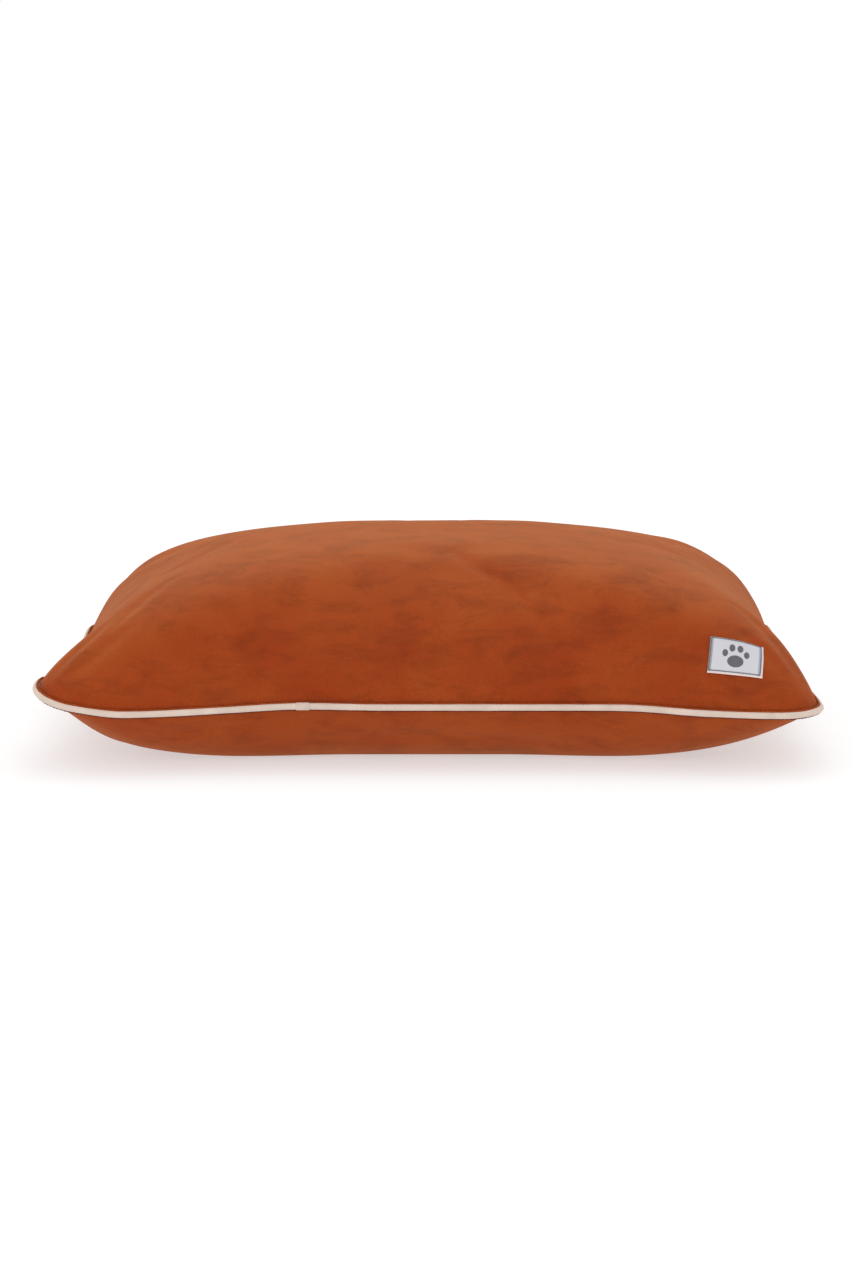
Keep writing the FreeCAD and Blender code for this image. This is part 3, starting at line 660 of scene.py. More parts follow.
def mesh_normals(mesh):
    """A mesh's point normals as an array."""
    flat = np.empty(3 * len(mesh.vertices))
    mesh.vertex_normals.foreach_get("vector", flat)
    return flat.reshape(-1, 3)


def set_points(mesh, points):
    """Moves a mesh's points."""
    mesh.vertices.foreach_set("co", np.asarray(points).ravel())
    mesh.update()


def thicken(piece, thickness):
    """Gives a sheet its thickness, inwards from the outer face, with closed edges."""
    solid = piece.modifiers.new("cloth", "SOLIDIFY")
    solid.thickness = thickness
    solid.offset = -1.0


# %% [markdown]
# The seam as a line of evenly spaced points is needed again and again: for the puckers, the
# piping and its cord, and the overlocked edges inside.

# %% Seam path
SEAM_STEP = 0.005


def seam_path(outwards, spacing=SEAM_STEP):
    """Evenly spaced points round the seam, moved outwards in plan, from the front left corner."""
    turn = np.linspace(0, 4, 4 * 500, endpoint=False)
    side, along = turn.astype(int), 2 * (turn % 1) - 1
    ones = np.ones_like(along)
    u = np.choose(side, [along, ones, -along, -ones])
    v = np.choose(side, [-ones, along, ones, -along])
    x, y = outline(u, v, seam_half_x, seam_half_y, CORNER_RADIUS, 1.0)
    z = seam_height + seam_lift(x, y)
    dx, dy = np.roll(x, -1) - np.roll(x, 1), np.roll(y, -1) - np.roll(y, 1)
    size = np.hypot(dx, dy)
    x, y = x + outwards * dy / size, y - outwards * dx / size
    closed = [np.append(c, c[0]) for c in (x, y, z)]
    reached = np.append(0, np.cumsum(np.linalg.norm(np.diff(closed, axis=1), axis=0)))
    stations = np.linspace(0, reached[-1], int(reached[-1] / spacing), endpoint=False)
    return np.stack([np.interp(stations, reached, c) for c in closed], axis=-1)


SEAM_POINTS = seam_path(0.0)
print("seam is", round(len(SEAM_POINTS) * SEAM_STEP, 3), "m long")

# %% [markdown]
# The puckers aren't evenly spaced: a few sine waves of different pitch, each following the
# distance round the seam, give gathers that come and go. Away from the seam the cloth carries
# a few long soft creases, each a shallow groove along a line: fans of them run up and in from
# the corners, and some cross the left shoulder of the crown, where the filling has shifted.

# %% Puckers and creases
PUCKER_DEPTH, PUCKER_REACH = 0.0009, 0.024
PUCKER_PITCHES = (0.0113, 0.0171, 0.0273)

# from and to, as x and y in metres on the top panel, then depth and half width
TOP_CREASES = (
    ((-0.400, -0.205), (-0.290, -0.060), 0.0026, 0.012),
    ((-0.372, -0.255), (-0.300, -0.130), 0.0022, 0.009),
    ((-0.405, -0.130), (-0.340, 0.010), 0.0018, 0.011),
    ((-0.335, -0.080), (-0.225, 0.060), 0.0015, 0.010),
    ((-0.430, -0.285), (-0.360, -0.200), 0.0030, 0.008),
    ((-0.415, -0.300), (-0.330, -0.245), 0.0022, 0.008),
    ((0.425, -0.290), (0.350, -0.190), 0.0028, 0.009),
    ((0.410, -0.302), (0.340, -0.255), 0.0018, 0.007),
    ((0.432, -0.262), (0.390, -0.150), 0.0024, 0.009),
    ((0.395, 0.230), (0.290, 0.080), 0.0030, 0.012),
    ((-0.400, 0.235), (-0.300, 0.090), 0.0030, 0.012),
    ((-0.240, -0.260), (-0.120, -0.235), 0.0010, 0.012),
    ((0.060, -0.268), (0.210, -0.245), 0.0010, 0.012),
    ((-0.060, -0.120), (0.120, -0.100), 0.0012, 0.020),
)


def gathered(points):
    """How far the stitches push each point in or out, close to the seam."""
    reach, along = np.empty(len(points)), np.empty(len(points))
    for start in range(0, len(points), 4000):
        block = slice(start, start + 4000)
        far = np.linalg.norm(points[block, None, :] - SEAM_POINTS[None, :, :], axis=-1)
        reach[block], along[block] = far.min(axis=1), far.argmin(axis=1) * SEAM_STEP
    waves = sum(np.sin(2 * np.pi * along / pitch + k) for k, pitch in enumerate(PUCKER_PITCHES))
    fading = np.clip(1 - reach / PUCKER_REACH, 0, 1) ** 1.5 * np.clip(reach / 0.004, 0, 1)
    return PUCKER_DEPTH * waves / 2 * fading


def creased(points, creases):
    """How far the creases pull each point in."""
    pull = np.zeros(len(points))
    for start, end, depth, width in creases:
        line = np.subtract(end, start)
        size = np.linalg.norm(line)
        offset = points[:, :2] - start
        along = offset @ line / size**2
        across = (offset[:, 0] * line[1] - offset[:, 1] * line[0]) / size
        bend = 0.006 * np.sin(np.pi * along)
        ends = bump(along - 0.5, 0.55) ** 0.5
        valley = np.exp(-(((across - bend) / width) ** 2))
        ridge = 0.45 * np.exp(-(((across - bend - 2.0 * width) / width) ** 2))
        pull += depth * ends * (ridge - valley)
    return pull


# %% The top panel
cover_top = grid_piece("velvet_top", top_points, False)
smooth_once(cover_top)
points = mesh_points(cover_top.data)
push = gathered(points) + creased(points, TOP_CREASES)
set_points(cover_top.data, points + mesh_normals(cover_top.data) * push[:, None])
thicken(cover_top, CLOTH)
finish_piece(cover_top, VELVET, "velvet", "cover_top")
print("top panel", len(cover_top.data.polygons), "faces")

# %% [markdown]
# The base panel is the same, with a mouth for the zip. The last two rows of faces go along the
# straight part of the back, and the row that is left becomes the mouth's edge. It is laid on a
# line beside the teeth, where a maker would fold the cloth under and stitch it down. Below the
# front seam the panel carries long level folds, because the filling sags behind it there.

# %% Zip frame
joints = {joint["name"]: joint for joint in frame["record"]["behaviour"]["joints"]}
EYE_HEIGHT = 0.00445  # tape to the axis of the pull, over the teeth and the slider's plate
COVER_DEPTH = 0.0015  # velvet's outer face down to the tape
MOUTH_EDGE = 0.0050  # middle of the teeth to the mouth's folded edge
zip_down = Vector(joints["pull_hinge"]["axis"])
zip_out = Vector((0.0, -zip_down.z, zip_down.y))
zip_middle = Vector(joints["pull_hinge"]["pos_m"]) - zip_out * EYE_HEIGHT
zip_middle.x = 0.0
zip_axes = Matrix((Vector((1, 0, 0)), zip_down, zip_out)).transposed().to_4x4()
zip_place = Matrix.Translation(zip_middle) @ zip_axes
mouth_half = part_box("zip_end_tab_right")[1].x + 0.0003
tape_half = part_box("zip_tape_upper")[1].x
teeth_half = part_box("zip_teeth_upper")[1].x

# %% The base panel
BASE_CREASES = (
    ((-0.330, -0.285), (-0.060, -0.278), 0.0024, 0.008),
    ((0.020, -0.280), (0.300, -0.285), 0.0022, 0.008),
    ((-0.150, -0.262), (0.150, -0.258), 0.0020, 0.009),
    ((-0.420, -0.250), (-0.350, -0.180), 0.0026, 0.009),
    ((0.420, -0.255), (0.350, -0.185), 0.0026, 0.009),
    ((-0.405, -0.100), (-0.400, 0.130), 0.0022, 0.009),
    ((0.405, -0.110), (0.400, 0.120), 0.0022, 0.009),
)


def open_mouth(panel):
    """Cuts the zip's mouth and lays its edge along the zip."""
    points = mesh_points(panel.data).reshape(CELLS_Y + 1, CELLS_X + 1, 3)
    edge = CELLS_Y - 2
    inside = np.flatnonzero(np.abs(points[edge, :, 0]) < mouth_half + 0.002)
    points[edge, inside[0], 0], points[edge, inside[-1], 0] = -mouth_half, mouth_half
    for column in inside:
        x = points[edge, column, 0]
        points[edge, column] = zip_place @ Vector((x, MOUTH_EDGE, COVER_DEPTH))
        points[edge + 1 :, column, 0] = x
    set_points(panel.data, points)
    panel.data.polygons.foreach_set("select", [False] * len(panel.data.polygons))
    for row in (edge, edge + 1):
        for column in range(inside[0], inside[-1]):
            panel.data.polygons[row * CELLS_X + column].select = True
    bpy.ops.object.mode_set(mode="EDIT")
    bpy.ops.mesh.delete(type="FACE")
    bpy.ops.object.mode_set(mode="OBJECT")


bpy.context.tool_settings.mesh_select_mode = (False, False, True)
cover_base = grid_piece("velvet_base", base_points, True)
open_mouth(cover_base)
smooth_once(cover_base)
points = mesh_points(cover_base.data)
on_floor = points[:, 2] < 0.004
near_zip = (points[:, 1] > 0.25) & (np.abs(points[:, 0]) < mouth_half + 0.02)
push = (gathered(points) + creased(points, BASE_CREASES)) * ~(on_floor | near_zip)
set_points(cover_base.data, points + mesh_normals(cover_base.data) * push[:, None])
thicken(cover_base, CLOTH)
finish_piece(cover_base, VELVET_BELOW, "velvet", "cover_base")
print("base panel", len(cover_base.data.polygons), "faces")

# %% [markdown]
# ## The piping
#
# Piping is a cord in a strip of cloth cut on the bias, sewn into the seam. A tube along the
# seam does for the casing, if it isn't a perfect tube: the cloth is drawn tighter at some
# stitches than at others, so its radius wanders a little. Where the two ends meet on the front
# edge, one end is folded under and lapped over the other. The cord inside is three strands
# laid round each other, which nobody sees until the casing is taken off.

# %% Tube helper


def tube(name, path, radius, rings, closed=True, swell=None):
    """A round tube along a path, with its UV map in metres along and round it."""
    curve = bpy.data.curves.new(name, "CURVE")
    curve.dimensions = "3D"
    curve.bevel_depth = radius
    curve.bevel_resolution = rings
    curve.use_fill_caps = not closed
    spline = curve.splines.new("POLY")
    spline.points.add(len(path) - 1)
    spline.points.foreach_set("co", np.column_stack([path, np.ones(len(path))]).ravel())
    if swell is not None:
        spline.points.foreach_set("radius", swell)
    spline.use_cyclic_u = closed
    select_only(new_object(name, curve))
    bpy.ops.object.convert(target="MESH")
    piece = bpy.context.object
    bpy.ops.object.shade_smooth()
    run = float(np.linalg.norm(np.diff(path, axis=0), axis=1).sum())
    metre_map(piece, (run, 2 * math.pi * radius))
    return piece


def metre_map(piece, size):
    """Stretches a piece's UV map from 0 to 1 so that it is in metres."""
    layer = piece.data.uv_layers.active
    flat = np.empty(2 * len(layer.uv))
    layer.uv.foreach_get("vector", flat)
    flat = flat.reshape(-1, 2) * size
    layer.uv.foreach_set("vector", flat.ravel())


def wander(count, spacing, *pitches):
    """A wandering value round 0, made of sine waves of these pitches in metres."""
    run = np.arange(count) * spacing
    return sum(np.sin(2 * np.pi * run / pitch + 2 * k) for k, pitch in enumerate(pitches)) / len(pitches)


# %% Casing and lap
PIPING_OUT = 0.88 * piping_radius  # seam to the middle of the cord, pressed in a little
JOIN_X = -0.140
LAP_THICK, LAP_LONG = 0.0007, 0.015
piping_path = seam_path(PIPING_OUT, 0.004)
uneven = 1 + 0.035 * wander(len(piping_path), 0.004, 0.031, 0.083, 0.190)
casing = tube("piping_casing_cloth", piping_path, piping_radius, 5, swell=uneven)
finish_piece(casing, PIPING_CLOTH, "piping_cloth", "piping_casing")

from_join = np.hypot(piping_path[:, 0] - JOIN_X, piping_path[:, 1] + seam_half_y)
select_only()
bpy.ops.mesh.primitive_cylinder_add(
    vertices=28,
    radius=piping_radius + LAP_THICK,
    depth=LAP_LONG,
    location=piping_path[from_join.argmin()],
    rotation=(0, math.pi / 2, 0),
)
lap = bpy.context.object
lap.name = "piping_lap"
bpy.ops.object.transform_apply(location=True, rotation=True, scale=True)
rounding = lap.modifiers.new("rounding", "BEVEL")
rounding.width, rounding.segments = 0.0005, 3
bpy.ops.object.modifier_apply(modifier=rounding.name)
bpy.ops.object.shade_smooth_by_angle(angle=math.radians(50))
finish_piece(lap, PIPING_CLOTH, "piping_cloth")

# %% Cord inside
STRANDS, LAY = 3, 0.022
cord_path = seam_path(PIPING_OUT, 0.0025)
turn = 2 * np.pi * np.arange(len(cord_path)) * round(len(cord_path) * 0.0025 / LAY) / len(cord_path)
ahead = np.roll(cord_path, -1, axis=0) - np.roll(cord_path, 1, axis=0)
aside = np.column_stack([ahead[:, 1], -ahead[:, 0]]) / np.hypot(ahead[:, 0], ahead[:, 1])[:, None]
cord_radius = (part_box("piping_cord")[1].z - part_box("piping_cord")[0].z) / 2
strand_radius = cord_radius / (1 + 2 / math.sqrt(3))
for strand in range(STRANDS):
    angle = turn + 2 * np.pi * strand / STRANDS
    off = strand_radius * 2 / math.sqrt(3)
    path = cord_path.copy()
    path[:, :2] += aside * (off * np.cos(angle))[:, None]
    path[:, 2] += off * np.sin(angle)
    piece = tube(f"cord_strand_{strand + 1}", path, strand_radius, 1)
    finish_piece(piece, CORD_COTTON, "cord", *(["piping_cord"] if strand == 0 else []))

# %% [markdown]
# On both sides of the piping the velvet folds down into the seam. Its pile stands up there in
# little tufts between the stitches, and draws a fine toothed line along the edge of the cord.
# The lower fold is a near-black copy of the velvet, painted shade for the shadow under the piping.

# %% Folded edges beside the piping
FOLD_STEP, TUFT_PITCH = 0.0013, 0.0047
for name, side, reach, radius, material in (
    ("fold_above", 1, 0.0015, 0.0014, VELVET),
    # the lower fold takes the near-black velvet, painted shade under the piping
    ("fold_below", -1, 0.0032, 0.0011, SHADED_FOLD_VELVET),
):
    path = seam_path(reach, FOLD_STEP)
    path[:, 2] += side * 0.96 * piping_radius
    run = np.arange(len(path)) * FOLD_STEP
    tooth = np.abs((run / TUFT_PITCH) % 1 - 0.5) * 2
    swell = 0.75 + 0.55 * tooth + 0.15 * wander(len(path), FOLD_STEP, 0.013, 0.041)
    if side < 0:
        behind_zip = (path[:, 1] > 0.25) & (np.abs(path[:, 0]) < mouth_half)
        swell = np.where(behind_zip, 0.3, swell)
    fold = tube(name, path, radius, 1, swell=swell)
    finish_piece(fold, material, "velvet")
print("piping", len(casing.data.polygons), "faces")

# %% [markdown]
# ## Inside the cover
#
# The inner cushion fills the cover, so its case is the same shape, a little smaller. Drawing
# in the settled panels in plan and moving them straight down, or up for the lower half, keeps
# every fold of the inner case under the same fold of the cover, where a smooth case would poke through.

# %% Inner cushion
LINER_THICK = 0.0006
edge = {node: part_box(node)[1].x for node in ("cover_top", "liner_top", "filling")}


def drawn_in(points, inset, depth, upward):
    """The settled points, closer in by an inset in plan and deeper by the given depth."""
    half = np.array([seam_half_x, seam_half_y])
    out = points.copy()
    out[:, :2] *= 1 - inset / half
    away = np.clip(np.abs(points[:, 2] - seam_height) / 0.03, 0, 1)
    out[:, 2] -= upward * depth * away
    return out


def case_half(name, upward, inset, depth, material, slot, node):
    """One half of the inner case, or of the filling."""
    points = drawn_in(top_points if upward > 0 else base_points, inset, depth, upward)
    sheet = grid_piece(name, points, upward < 0)
    finish_piece(sheet, material, slot, node)
    return sheet


inset = edge["cover_top"] - edge["liner_top"]
for name, upward, depth in (("upper", 1, 0.004), ("lower", -1, 0.002)):
    node = "liner_top" if upward > 0 else "liner_base"
    sheet = case_half(f"liner_{name}", upward, inset, depth, LINER_CLOTH, "liner_cloth", node)
    thicken(sheet, LINER_THICK)

inset = edge["cover_top"] - edge["filling"]
fill_top = case_half("filling_upper", 1, inset, 0.008, FIBRE_FILL, "fibre_fill", "filling")
fill_base = case_half("filling_lower", -1, inset, 0.004, FIBRE_FILL, "fibre_fill", "filling")
select_only(fill_base, fill_top)
bpy.ops.object.join()
bpy.ops.object.mode_set(mode="EDIT")
bpy.ops.mesh.select_all(action="SELECT")
bpy.ops.mesh.remove_doubles(threshold=0.0004)
bpy.ops.object.mode_set(mode="OBJECT")
fill_top.name = "fibre_filling"

# %% [markdown]
# The raw edges of both seams are overlocked: a band of looped thread wraps them. Each is a
# tube that swells a little at every loop and follows its own seam.

# %% Overlocked edges
BAND_HALF = 0.0025
for name, node, material, slot in (
    ("cover_overlock", "cover_seam_overlock", THREAD, "thread"),
    ("liner_overlock", "liner_seam_overlock", LINER_CLOTH, "liner_cloth"),
):
    path = seam_path(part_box(node)[1].x - edge["cover_top"] - BAND_HALF, 0.003)
    loops = 1 + 0.06 * np.sin(np.arange(len(path)) * 2.2)
    finish_piece(tube(name, path, BAND_HALF, 1, swell=loops), material, slot, node)

# %% [markdown]
# ## The woven patch
#
# The patch and all that is sewn on it are made flat on the table, at their true size, and then
# laid on the cushion together: each point goes down onto the velvet and keeps its own height
# above it. Bending one flat label to a curved panel by hand would leave gaps under it. The
# front carries a paw print between two darker bands, inside a satin-stitched frame line, and a
# line of small stitches holds the patch down.

# %% Laying pieces on the velvet
velvet_tree = BVHTree.FromPolygons(
    [tuple(p) for p in mesh_points(cover_top.data)],
    [tuple(polygon.vertices) for polygon in cover_top.data.polygons],
)
PATCH_TURN = math.radians(-11.0)  # right side down
patch_low, patch_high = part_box("label_patch")
patch_spot, patch_normal, _, _ = velvet_tree.find_nearest((patch_low + patch_high) / 2)
nearby = [Vector((dx, 0, dz)) for dx in (-0.02, 0, 0.02) for dz in (-0.015, 0.015)]
normals = [velvet_tree.find_nearest(patch_spot + step)[1] for step in nearby]
patch_normal = sum(normals, patch_normal).normalized()
level = Vector((0, 0, 1)).cross(patch_normal).normalized()
patch_right = Matrix.Rotation(PATCH_TURN, 3, patch_normal) @ level
patch_up = patch_normal.cross(patch_right)
PATCH_LIFT = 0.0010  # the velvet's pile under the patch


def on_velvet(x, y, height):
    """The place on the cushion of a point of the flat patch."""
    start = patch_spot + patch_right * x + patch_up * y + patch_normal * 0.03
    hit, normal, _, _ = velvet_tree.ray_cast(start, -patch_normal)
    normal = (normal + patch_normal).normalized()
    return hit + normal * (height + PATCH_LIFT)


def lay(piece):
    """Lays a flat piece on the velvet."""
    placed = [on_velvet(*vertex.co) for vertex in piece.data.vertices]
    set_points(piece.data, np.array(placed))
    return piece


def flat_block(name, size, place=(0.0, 0.0, 0.0), cells=(1, 1), rounding=0.0):
    """A flat block of cloth on the table, divided so that it can bend, with UVs in metres."""
    select_only()
    bpy.ops.mesh.primitive_grid_add(x_subdivisions=cells[0], y_subdivisions=cells[1], size=1.0)
    block = bpy.context.object
    block.name = name
    block.scale = (size[0], size[1], 1.0)
    block.location = (place[0], place[1], place[2])
    bpy.ops.object.transform_apply(location=True, rotation=True, scale=True)
    bpy.ops.object.mode_set(mode="EDIT")
    bpy.ops.mesh.select_all(action="SELECT")
    bpy.ops.mesh.extrude_region_move(TRANSFORM_OT_translate={"value": (0, 0, size[2])})
    bpy.ops.mesh.select_all(action="SELECT")
    bpy.ops.mesh.normals_make_consistent(inside=False)
    bpy.ops.object.mode_set(mode="OBJECT")
    if rounding:
        soft = block.modifiers.new("rounding", "BEVEL")
        soft.width, soft.segments = rounding, 2
        soft.limit_method = "ANGLE"
        bpy.ops.object.modifier_apply(modifier=soft.name)
    flat_map(block)
    bpy.ops.object.shade_smooth_by_angle(angle=math.radians(40))
    return block


def flat_map(piece):
    """Writes a flat piece's own X and Y into its UV map, in metres."""
    layer = piece.data.uv_layers.active or piece.data.uv_layers.new(name="metres")
    corners = np.empty(len(piece.data.loops), dtype=int)
    piece.data.loops.foreach_get("vertex_index", corners)
    layer.uv.foreach_set("vector", mesh_points(piece.data)[corners, :2].ravel())


# %% Patch body
PATCH_WIDE, PATCH_HIGH, PATCH_THICK = 0.060, 0.042, 0.0008
BAND_WIDE, BAND_EDGE = 0.0040, 0.0006  # darker band at each end, and how softly it starts
PATCH_GREY, BAND_GREY, BAND_BLUE = (0.60, 0.59, 0.63), (0.30, 0.30, 0.31), (0.34, 0.38, 0.48)


def patch_satin():
    """Pale satin with a darker band at each end, the right one bluish."""
    material = woven("patch_satin", PATCH_GREY, 0.0005, 0.42, 0.00006, 0.2, 0.15)
    tree = material.node_tree
    shader = tree.nodes["Principled BSDF"]
    base = shader.inputs["Base Color"].links[0].from_socket
    place = new_node(tree, "ShaderNodeTexCoord").outputs["UV"]
    across = new_node(tree, "ShaderNodeSeparateXYZ", {"Vector": place}).outputs["X"]
    inner = PATCH_WIDE / 2 - BAND_WIDE
    for side, colour in ((-1.0, BAND_GREY), (1.0, BAND_BLUE)):
        outwards = math_node(tree, "MULTIPLY", across, side)
        in_band = ranged(tree, outwards, inner, inner + BAND_EDGE)
        base = mixed_colour(tree, in_band, base, (*colour, 1.0))
    feed(tree, shader, {"Base Color": base})
    return material


PATCH_SATIN = patch_satin()
PATCH_PRINT = woven("patch_print", (0.13, 0.13, 0.15), 0.0004, 0.55, 0.0001)
PATCH_HEM = woven("patch_hem", (0.80, 0.66, 0.62), 0.0004, 0.6, 0.0001)

patch_size = (PATCH_WIDE, PATCH_HIGH, PATCH_THICK)
patch = flat_block("label_patch_satin", patch_size, cells=(24, 16), rounding=0.0002)
finish_piece(lay(patch), PATCH_SATIN, "patch_satin", "label_patch")

# %% [markdown]
# The frame line is four narrow strips of satin stitch just inside the edge. The folded hem
# shows as a paler strip along the bottom and the right.

# %% Frame line and hem
LINE, LINE_IN = 0.0010, 0.0011
LINE_THICK, LINE_HEIGHT = 0.0003, PATCH_THICK + 0.00002
level_line = (PATCH_WIDE - 2 * LINE_IN, LINE, LINE_THICK)
upright_line = (LINE, PATCH_HIGH - 2 * LINE_IN - LINE, LINE_THICK)
line_x, line_y = PATCH_WIDE / 2 - LINE_IN, PATCH_HIGH / 2 - LINE_IN
LINES = (
    (level_line, (0, line_y, LINE_HEIGHT), (24, 1)),
    (level_line, (0, -line_y, LINE_HEIGHT), (24, 1)),
    (upright_line, (-line_x, 0, LINE_HEIGHT), (1, 16)),
    (upright_line, (line_x, 0, LINE_HEIGHT), (1, 16)),
)
for number, (size, place, cells) in enumerate(LINES, start=1):
    line = lay(flat_block(f"label_line_{number}", size, place, cells))
    finish_piece(line, PATCH_PRINT, "patch_frame", *(["label_border"] if number == 1 else []))

HEM, HEM_THICK, HEM_UNDER = 0.0022, 0.0007, 0.0003
hem_x = PATCH_WIDE / 2 + HEM / 2 - HEM_UNDER
hem_y = -PATCH_HIGH / 2 - HEM / 2 + HEM_UNDER
HEMS = (
    ((PATCH_WIDE + HEM, HEM, HEM_THICK), (HEM / 2, hem_y, 0.0), (24, 1)),
    ((HEM, PATCH_HIGH, HEM_THICK), (hem_x, 0, 0.0), (1, 16)),
)
for number, (size, place, cells) in enumerate(HEMS, start=1):
    hem = lay(flat_block(f"label_hem_{number}", size, place, cells, 0.0002))
    finish_piece(hem, PATCH_HEM, "patch_satin")

# %% [markdown]
# The paw print is one broad pad under four toes, each a low satin-stitched dome.

# %% Paw print
PAD_HEIGHT = 0.0005
TOES = ((0.0122, 0.0022, 0.0032, 0.0044), (0.0046, 0.0092, 0.0034, 0.0048))
PAW = [(0.0, -0.0070, 0.0092, 0.0072)]
PAW += [(side * x, *rest) for x, *rest in TOES for side in (-1, 1)]


def stretched_ball(place, half_sizes, segments, rings):
    """A ball with its own half size along each axis."""
    bpy.ops.mesh.primitive_uv_sphere_add(
        segments=segments, ring_count=rings, radius=1.0, location=place
    )
    ball = bpy.context.object
    ball.scale = half_sizes
    return ball


for number, (x, y, half_x, half_y) in enumerate(PAW, start=1):
    select_only()
    pad = stretched_ball((x, y, PATCH_THICK), (half_x, half_y, PAD_HEIGHT), 28, 12)
    pad.name = f"paw_pad_{number}"
    bpy.ops.object.transform_apply(location=True, rotation=True, scale=True)
    flat_map(pad)
    bpy.ops.object.shade_smooth()
    emblem = ["label_emblem"] if number == 1 else []
    finish_piece(lay(pad), PATCH_PRINT, "patch_print", *emblem)

# %% Stitches round the patch
STITCH, STITCH_PITCH, STITCH_IN = 0.0026, 0.0040, 0.0022
stitch_spots = []
for side_long, side_apart, turned in (
    (PATCH_WIDE, PATCH_HIGH, False),
    (PATCH_HIGH, PATCH_WIDE, True),
):
    count = int((side_long - 0.003) / STITCH_PITCH)
    for k in range(count):
        along = (k - (count - 1) / 2) * STITCH_PITCH
        for side in (-1, 1):
            across = side * (side_apart / 2 - STITCH_IN)
            stitch_spots.append((across, along, True) if turned else (along, across, False))


def stitch_row(name, spots, length, thick, height, material, slot, *nodes):
    """Short stitches at flat spots (x, y, turned), joined into one piece."""
    select_only()
    made = []
    for x, y, turned in spots:
        half_sizes = (thick, length / 2, thick) if turned else (length / 2, thick, thick)
        made.append(stretched_ball((x, y, height), half_sizes, 8, 6))
    select_only(*made)
    bpy.ops.object.transform_apply(location=True, rotation=True, scale=True)
    bpy.ops.object.join()
    row = bpy.context.object
    row.name = name
    flat_map(row)
    bpy.ops.object.shade_smooth()
    return finish_piece(row, material, slot, *nodes)


in_thread = (PATCH_THREAD, "patch_thread", "label_stitches")
lay(stitch_row("label_stitch_ring", stitch_spots, STITCH, 0.00025, PATCH_THICK, *in_thread))
print("patch stitches", len(stitch_spots))

# %% [markdown]
# ## The zip
#
# The zip is a coil zip: a nylon thread wound into two flat spirals, each sewn to the edge of
# a woven tape. Two straight bars with a bump map would do from far off, but not close up from
# behind, so each row really is a spiral. The tapes and the spirals are made flat, with the
# zip's middle on the X axis, and then put in their place.

# %% Tapes and coils
TAPE_WIDE, TAPE_THICK = 0.0135, 0.0006
COIL_PITCH, COIL_THREAD = 0.0015, 0.00034
COIL_NEAR, COIL_FAR, COIL_HIGH = 0.0003, 0.0031, 0.0019


def in_zip(piece):
    """Moves a piece made flat on the zip's middle line into its place at the back."""
    set_points(piece.data, np.array([zip_place @ vertex.co for vertex in piece.data.vertices]))
    return piece


for side, name in ((-1, "upper"), (1, "lower")):
    tape = flat_block(
        f"tape_{name}",
        (2 * tape_half, TAPE_WIDE - COIL_NEAR, TAPE_THICK),
        (0, side * (TAPE_WIDE + COIL_NEAR) / 2, -TAPE_THICK),
        (60, 4),
        0.0001,
    )
    finish_piece(in_zip(tape), ZIP_TAPE, "zip_tape", f"zip_tape_{name}")
    turns = int(2 * teeth_half / COIL_PITCH)
    angle = np.linspace(0, 2 * np.pi * turns, 10 * turns + 1)
    middle, reach = (COIL_NEAR + COIL_FAR) / 2, (COIL_FAR - COIL_NEAR) / 2 - COIL_THREAD
    x = np.linspace(-teeth_half, teeth_half, len(angle)) + 0.25 * COIL_PITCH * side
    y = side * (middle - reach * np.cos(angle))
    z = COIL_HIGH / 2 + (COIL_HIGH / 2 - COIL_THREAD) * np.sin(angle)
    coil = tube(f"coil_{name}", np.stack([x, y, z], axis=-1), COIL_THREAD, 0, closed=False)
    finish_piece(in_zip(coil), ZIP_COIL, "zip_coil", f"zip_teeth_{name}")
print("coil turns", turns)

# %% [markdown]
# One row of stitches holds the mouth's fold to the lower tape. The slider, its pull and the
# stops stay as the frame has them, and only get their metal, because their shapes are already
# the real ones. The same goes for the two velvet tabs at the ends.

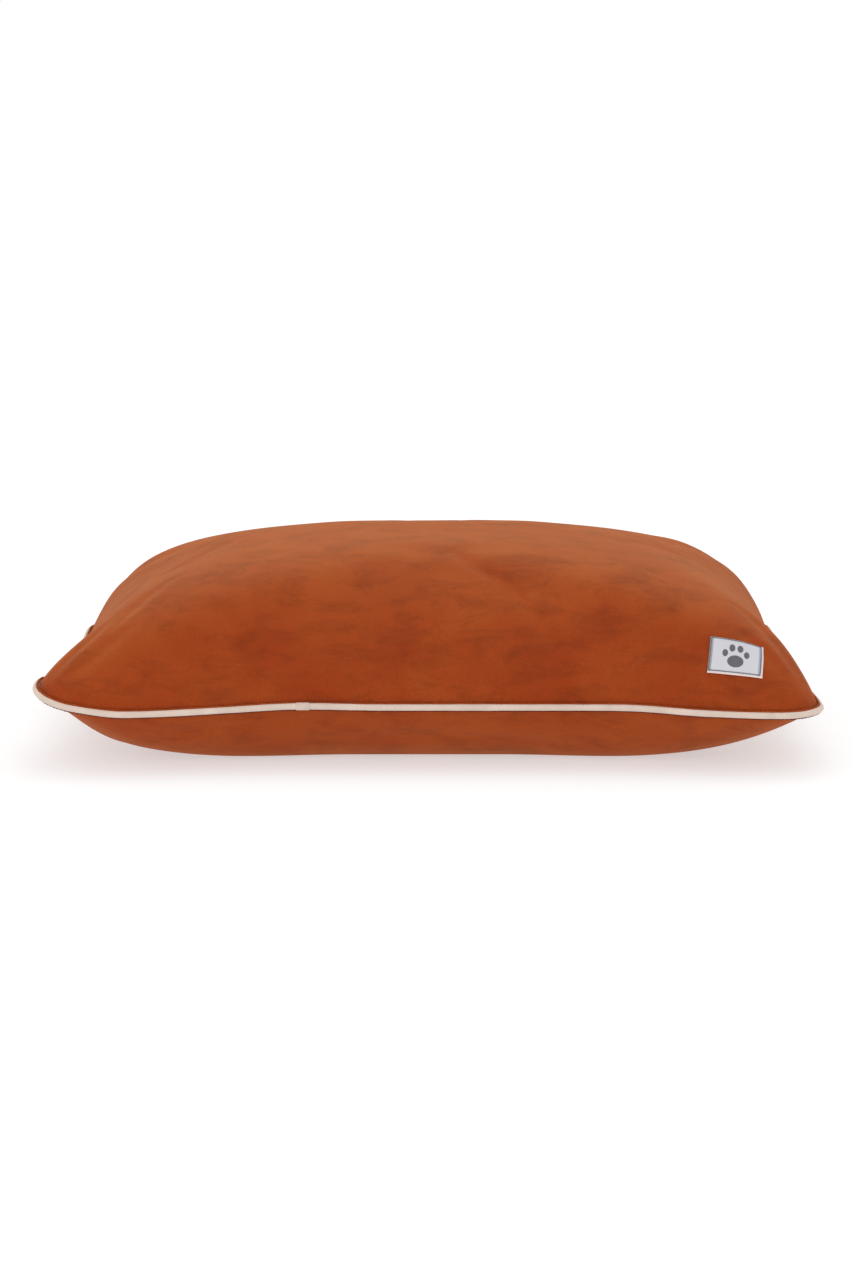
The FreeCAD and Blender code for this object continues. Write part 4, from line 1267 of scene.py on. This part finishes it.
# %% Stitches and metal
TOP_STITCH, TOP_PITCH = 0.0026, 0.0036
count = int(2 * mouth_half / TOP_PITCH)
spots = [((k - (count - 1) / 2) * TOP_PITCH, MOUTH_EDGE + 0.0026, False) for k in range(count)]
top_stitch = stitch_row("mouth_stitches", spots, TOP_STITCH, 0.0003, COVER_DEPTH, THREAD, "thread")
in_zip(top_stitch)

for node, material in (
    ("zip_slider", ZIP_METAL),
    ("zip_pull", ZIP_METAL),
    ("zip_top_stops", ZIP_METAL),
    ("zip_bottom_stop", ZIP_METAL),
    # the end tabs take the base panel's lighter velvet, painted light included
    ("zip_end_tab_left", VELVET_BELOW),
    ("zip_end_tab_right", VELVET_BELOW),
):
    piece = frame["nodes"][node]
    for place in piece.material_slots:
        place.material = material

# %% [markdown]
# ## The care label
#
# The care label is a strip of satin folded in half, its two ends caught in the back seam under
# the piping. It hangs straight down there, off the cushion's slope, with the fold at the
# bottom. It is a thin loop and not one flat card, and its lower corners curl a little.

# %% Care label
care_low, care_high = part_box("care_label")
care_wide, care_long = care_high.x - care_low.x, care_high.z - care_low.z
CARE_THICK, CARE_FOLD = 0.00022, 0.0006
select_only()
bpy.ops.mesh.primitive_grid_add(x_subdivisions=10, y_subdivisions=48, size=1.0)
care = bpy.context.object
care.name = "care_label_loop"
flat = mesh_points(care.data)
flat_run = (flat[:, 1] + 0.5) * 2 * care_long
x = flat[:, 0] * care_wide
flat[:, :2] = np.column_stack([x, flat_run])
set_points(care.data, flat)
flat_map(care)
front = flat_run < care_long
drop = np.where(front, flat_run, 2 * care_long - flat_run)
near_fold = np.clip((care_long - drop) / (2 * CARE_FOLD), 0, 1)
apart = CARE_FOLD * np.sqrt(1 - (1 - near_fold) ** 2) * np.where(front, 1, -1)
curl = 0.0030 * (drop / care_long) ** 3 * (1 + 0.5 * (2 * x / care_wide) ** 2)
middle_x, middle_y = (care_low.x + care_high.x) / 2, (care_low.y + care_high.y) / 2
hung = np.column_stack([x + middle_x, middle_y + apart + curl, care_high.z - drop])
set_points(care.data, hung)
thicken(care, CARE_THICK)
bpy.ops.object.shade_smooth()
finish_piece(care, CARE_SATIN, "care_satin", "care_label")
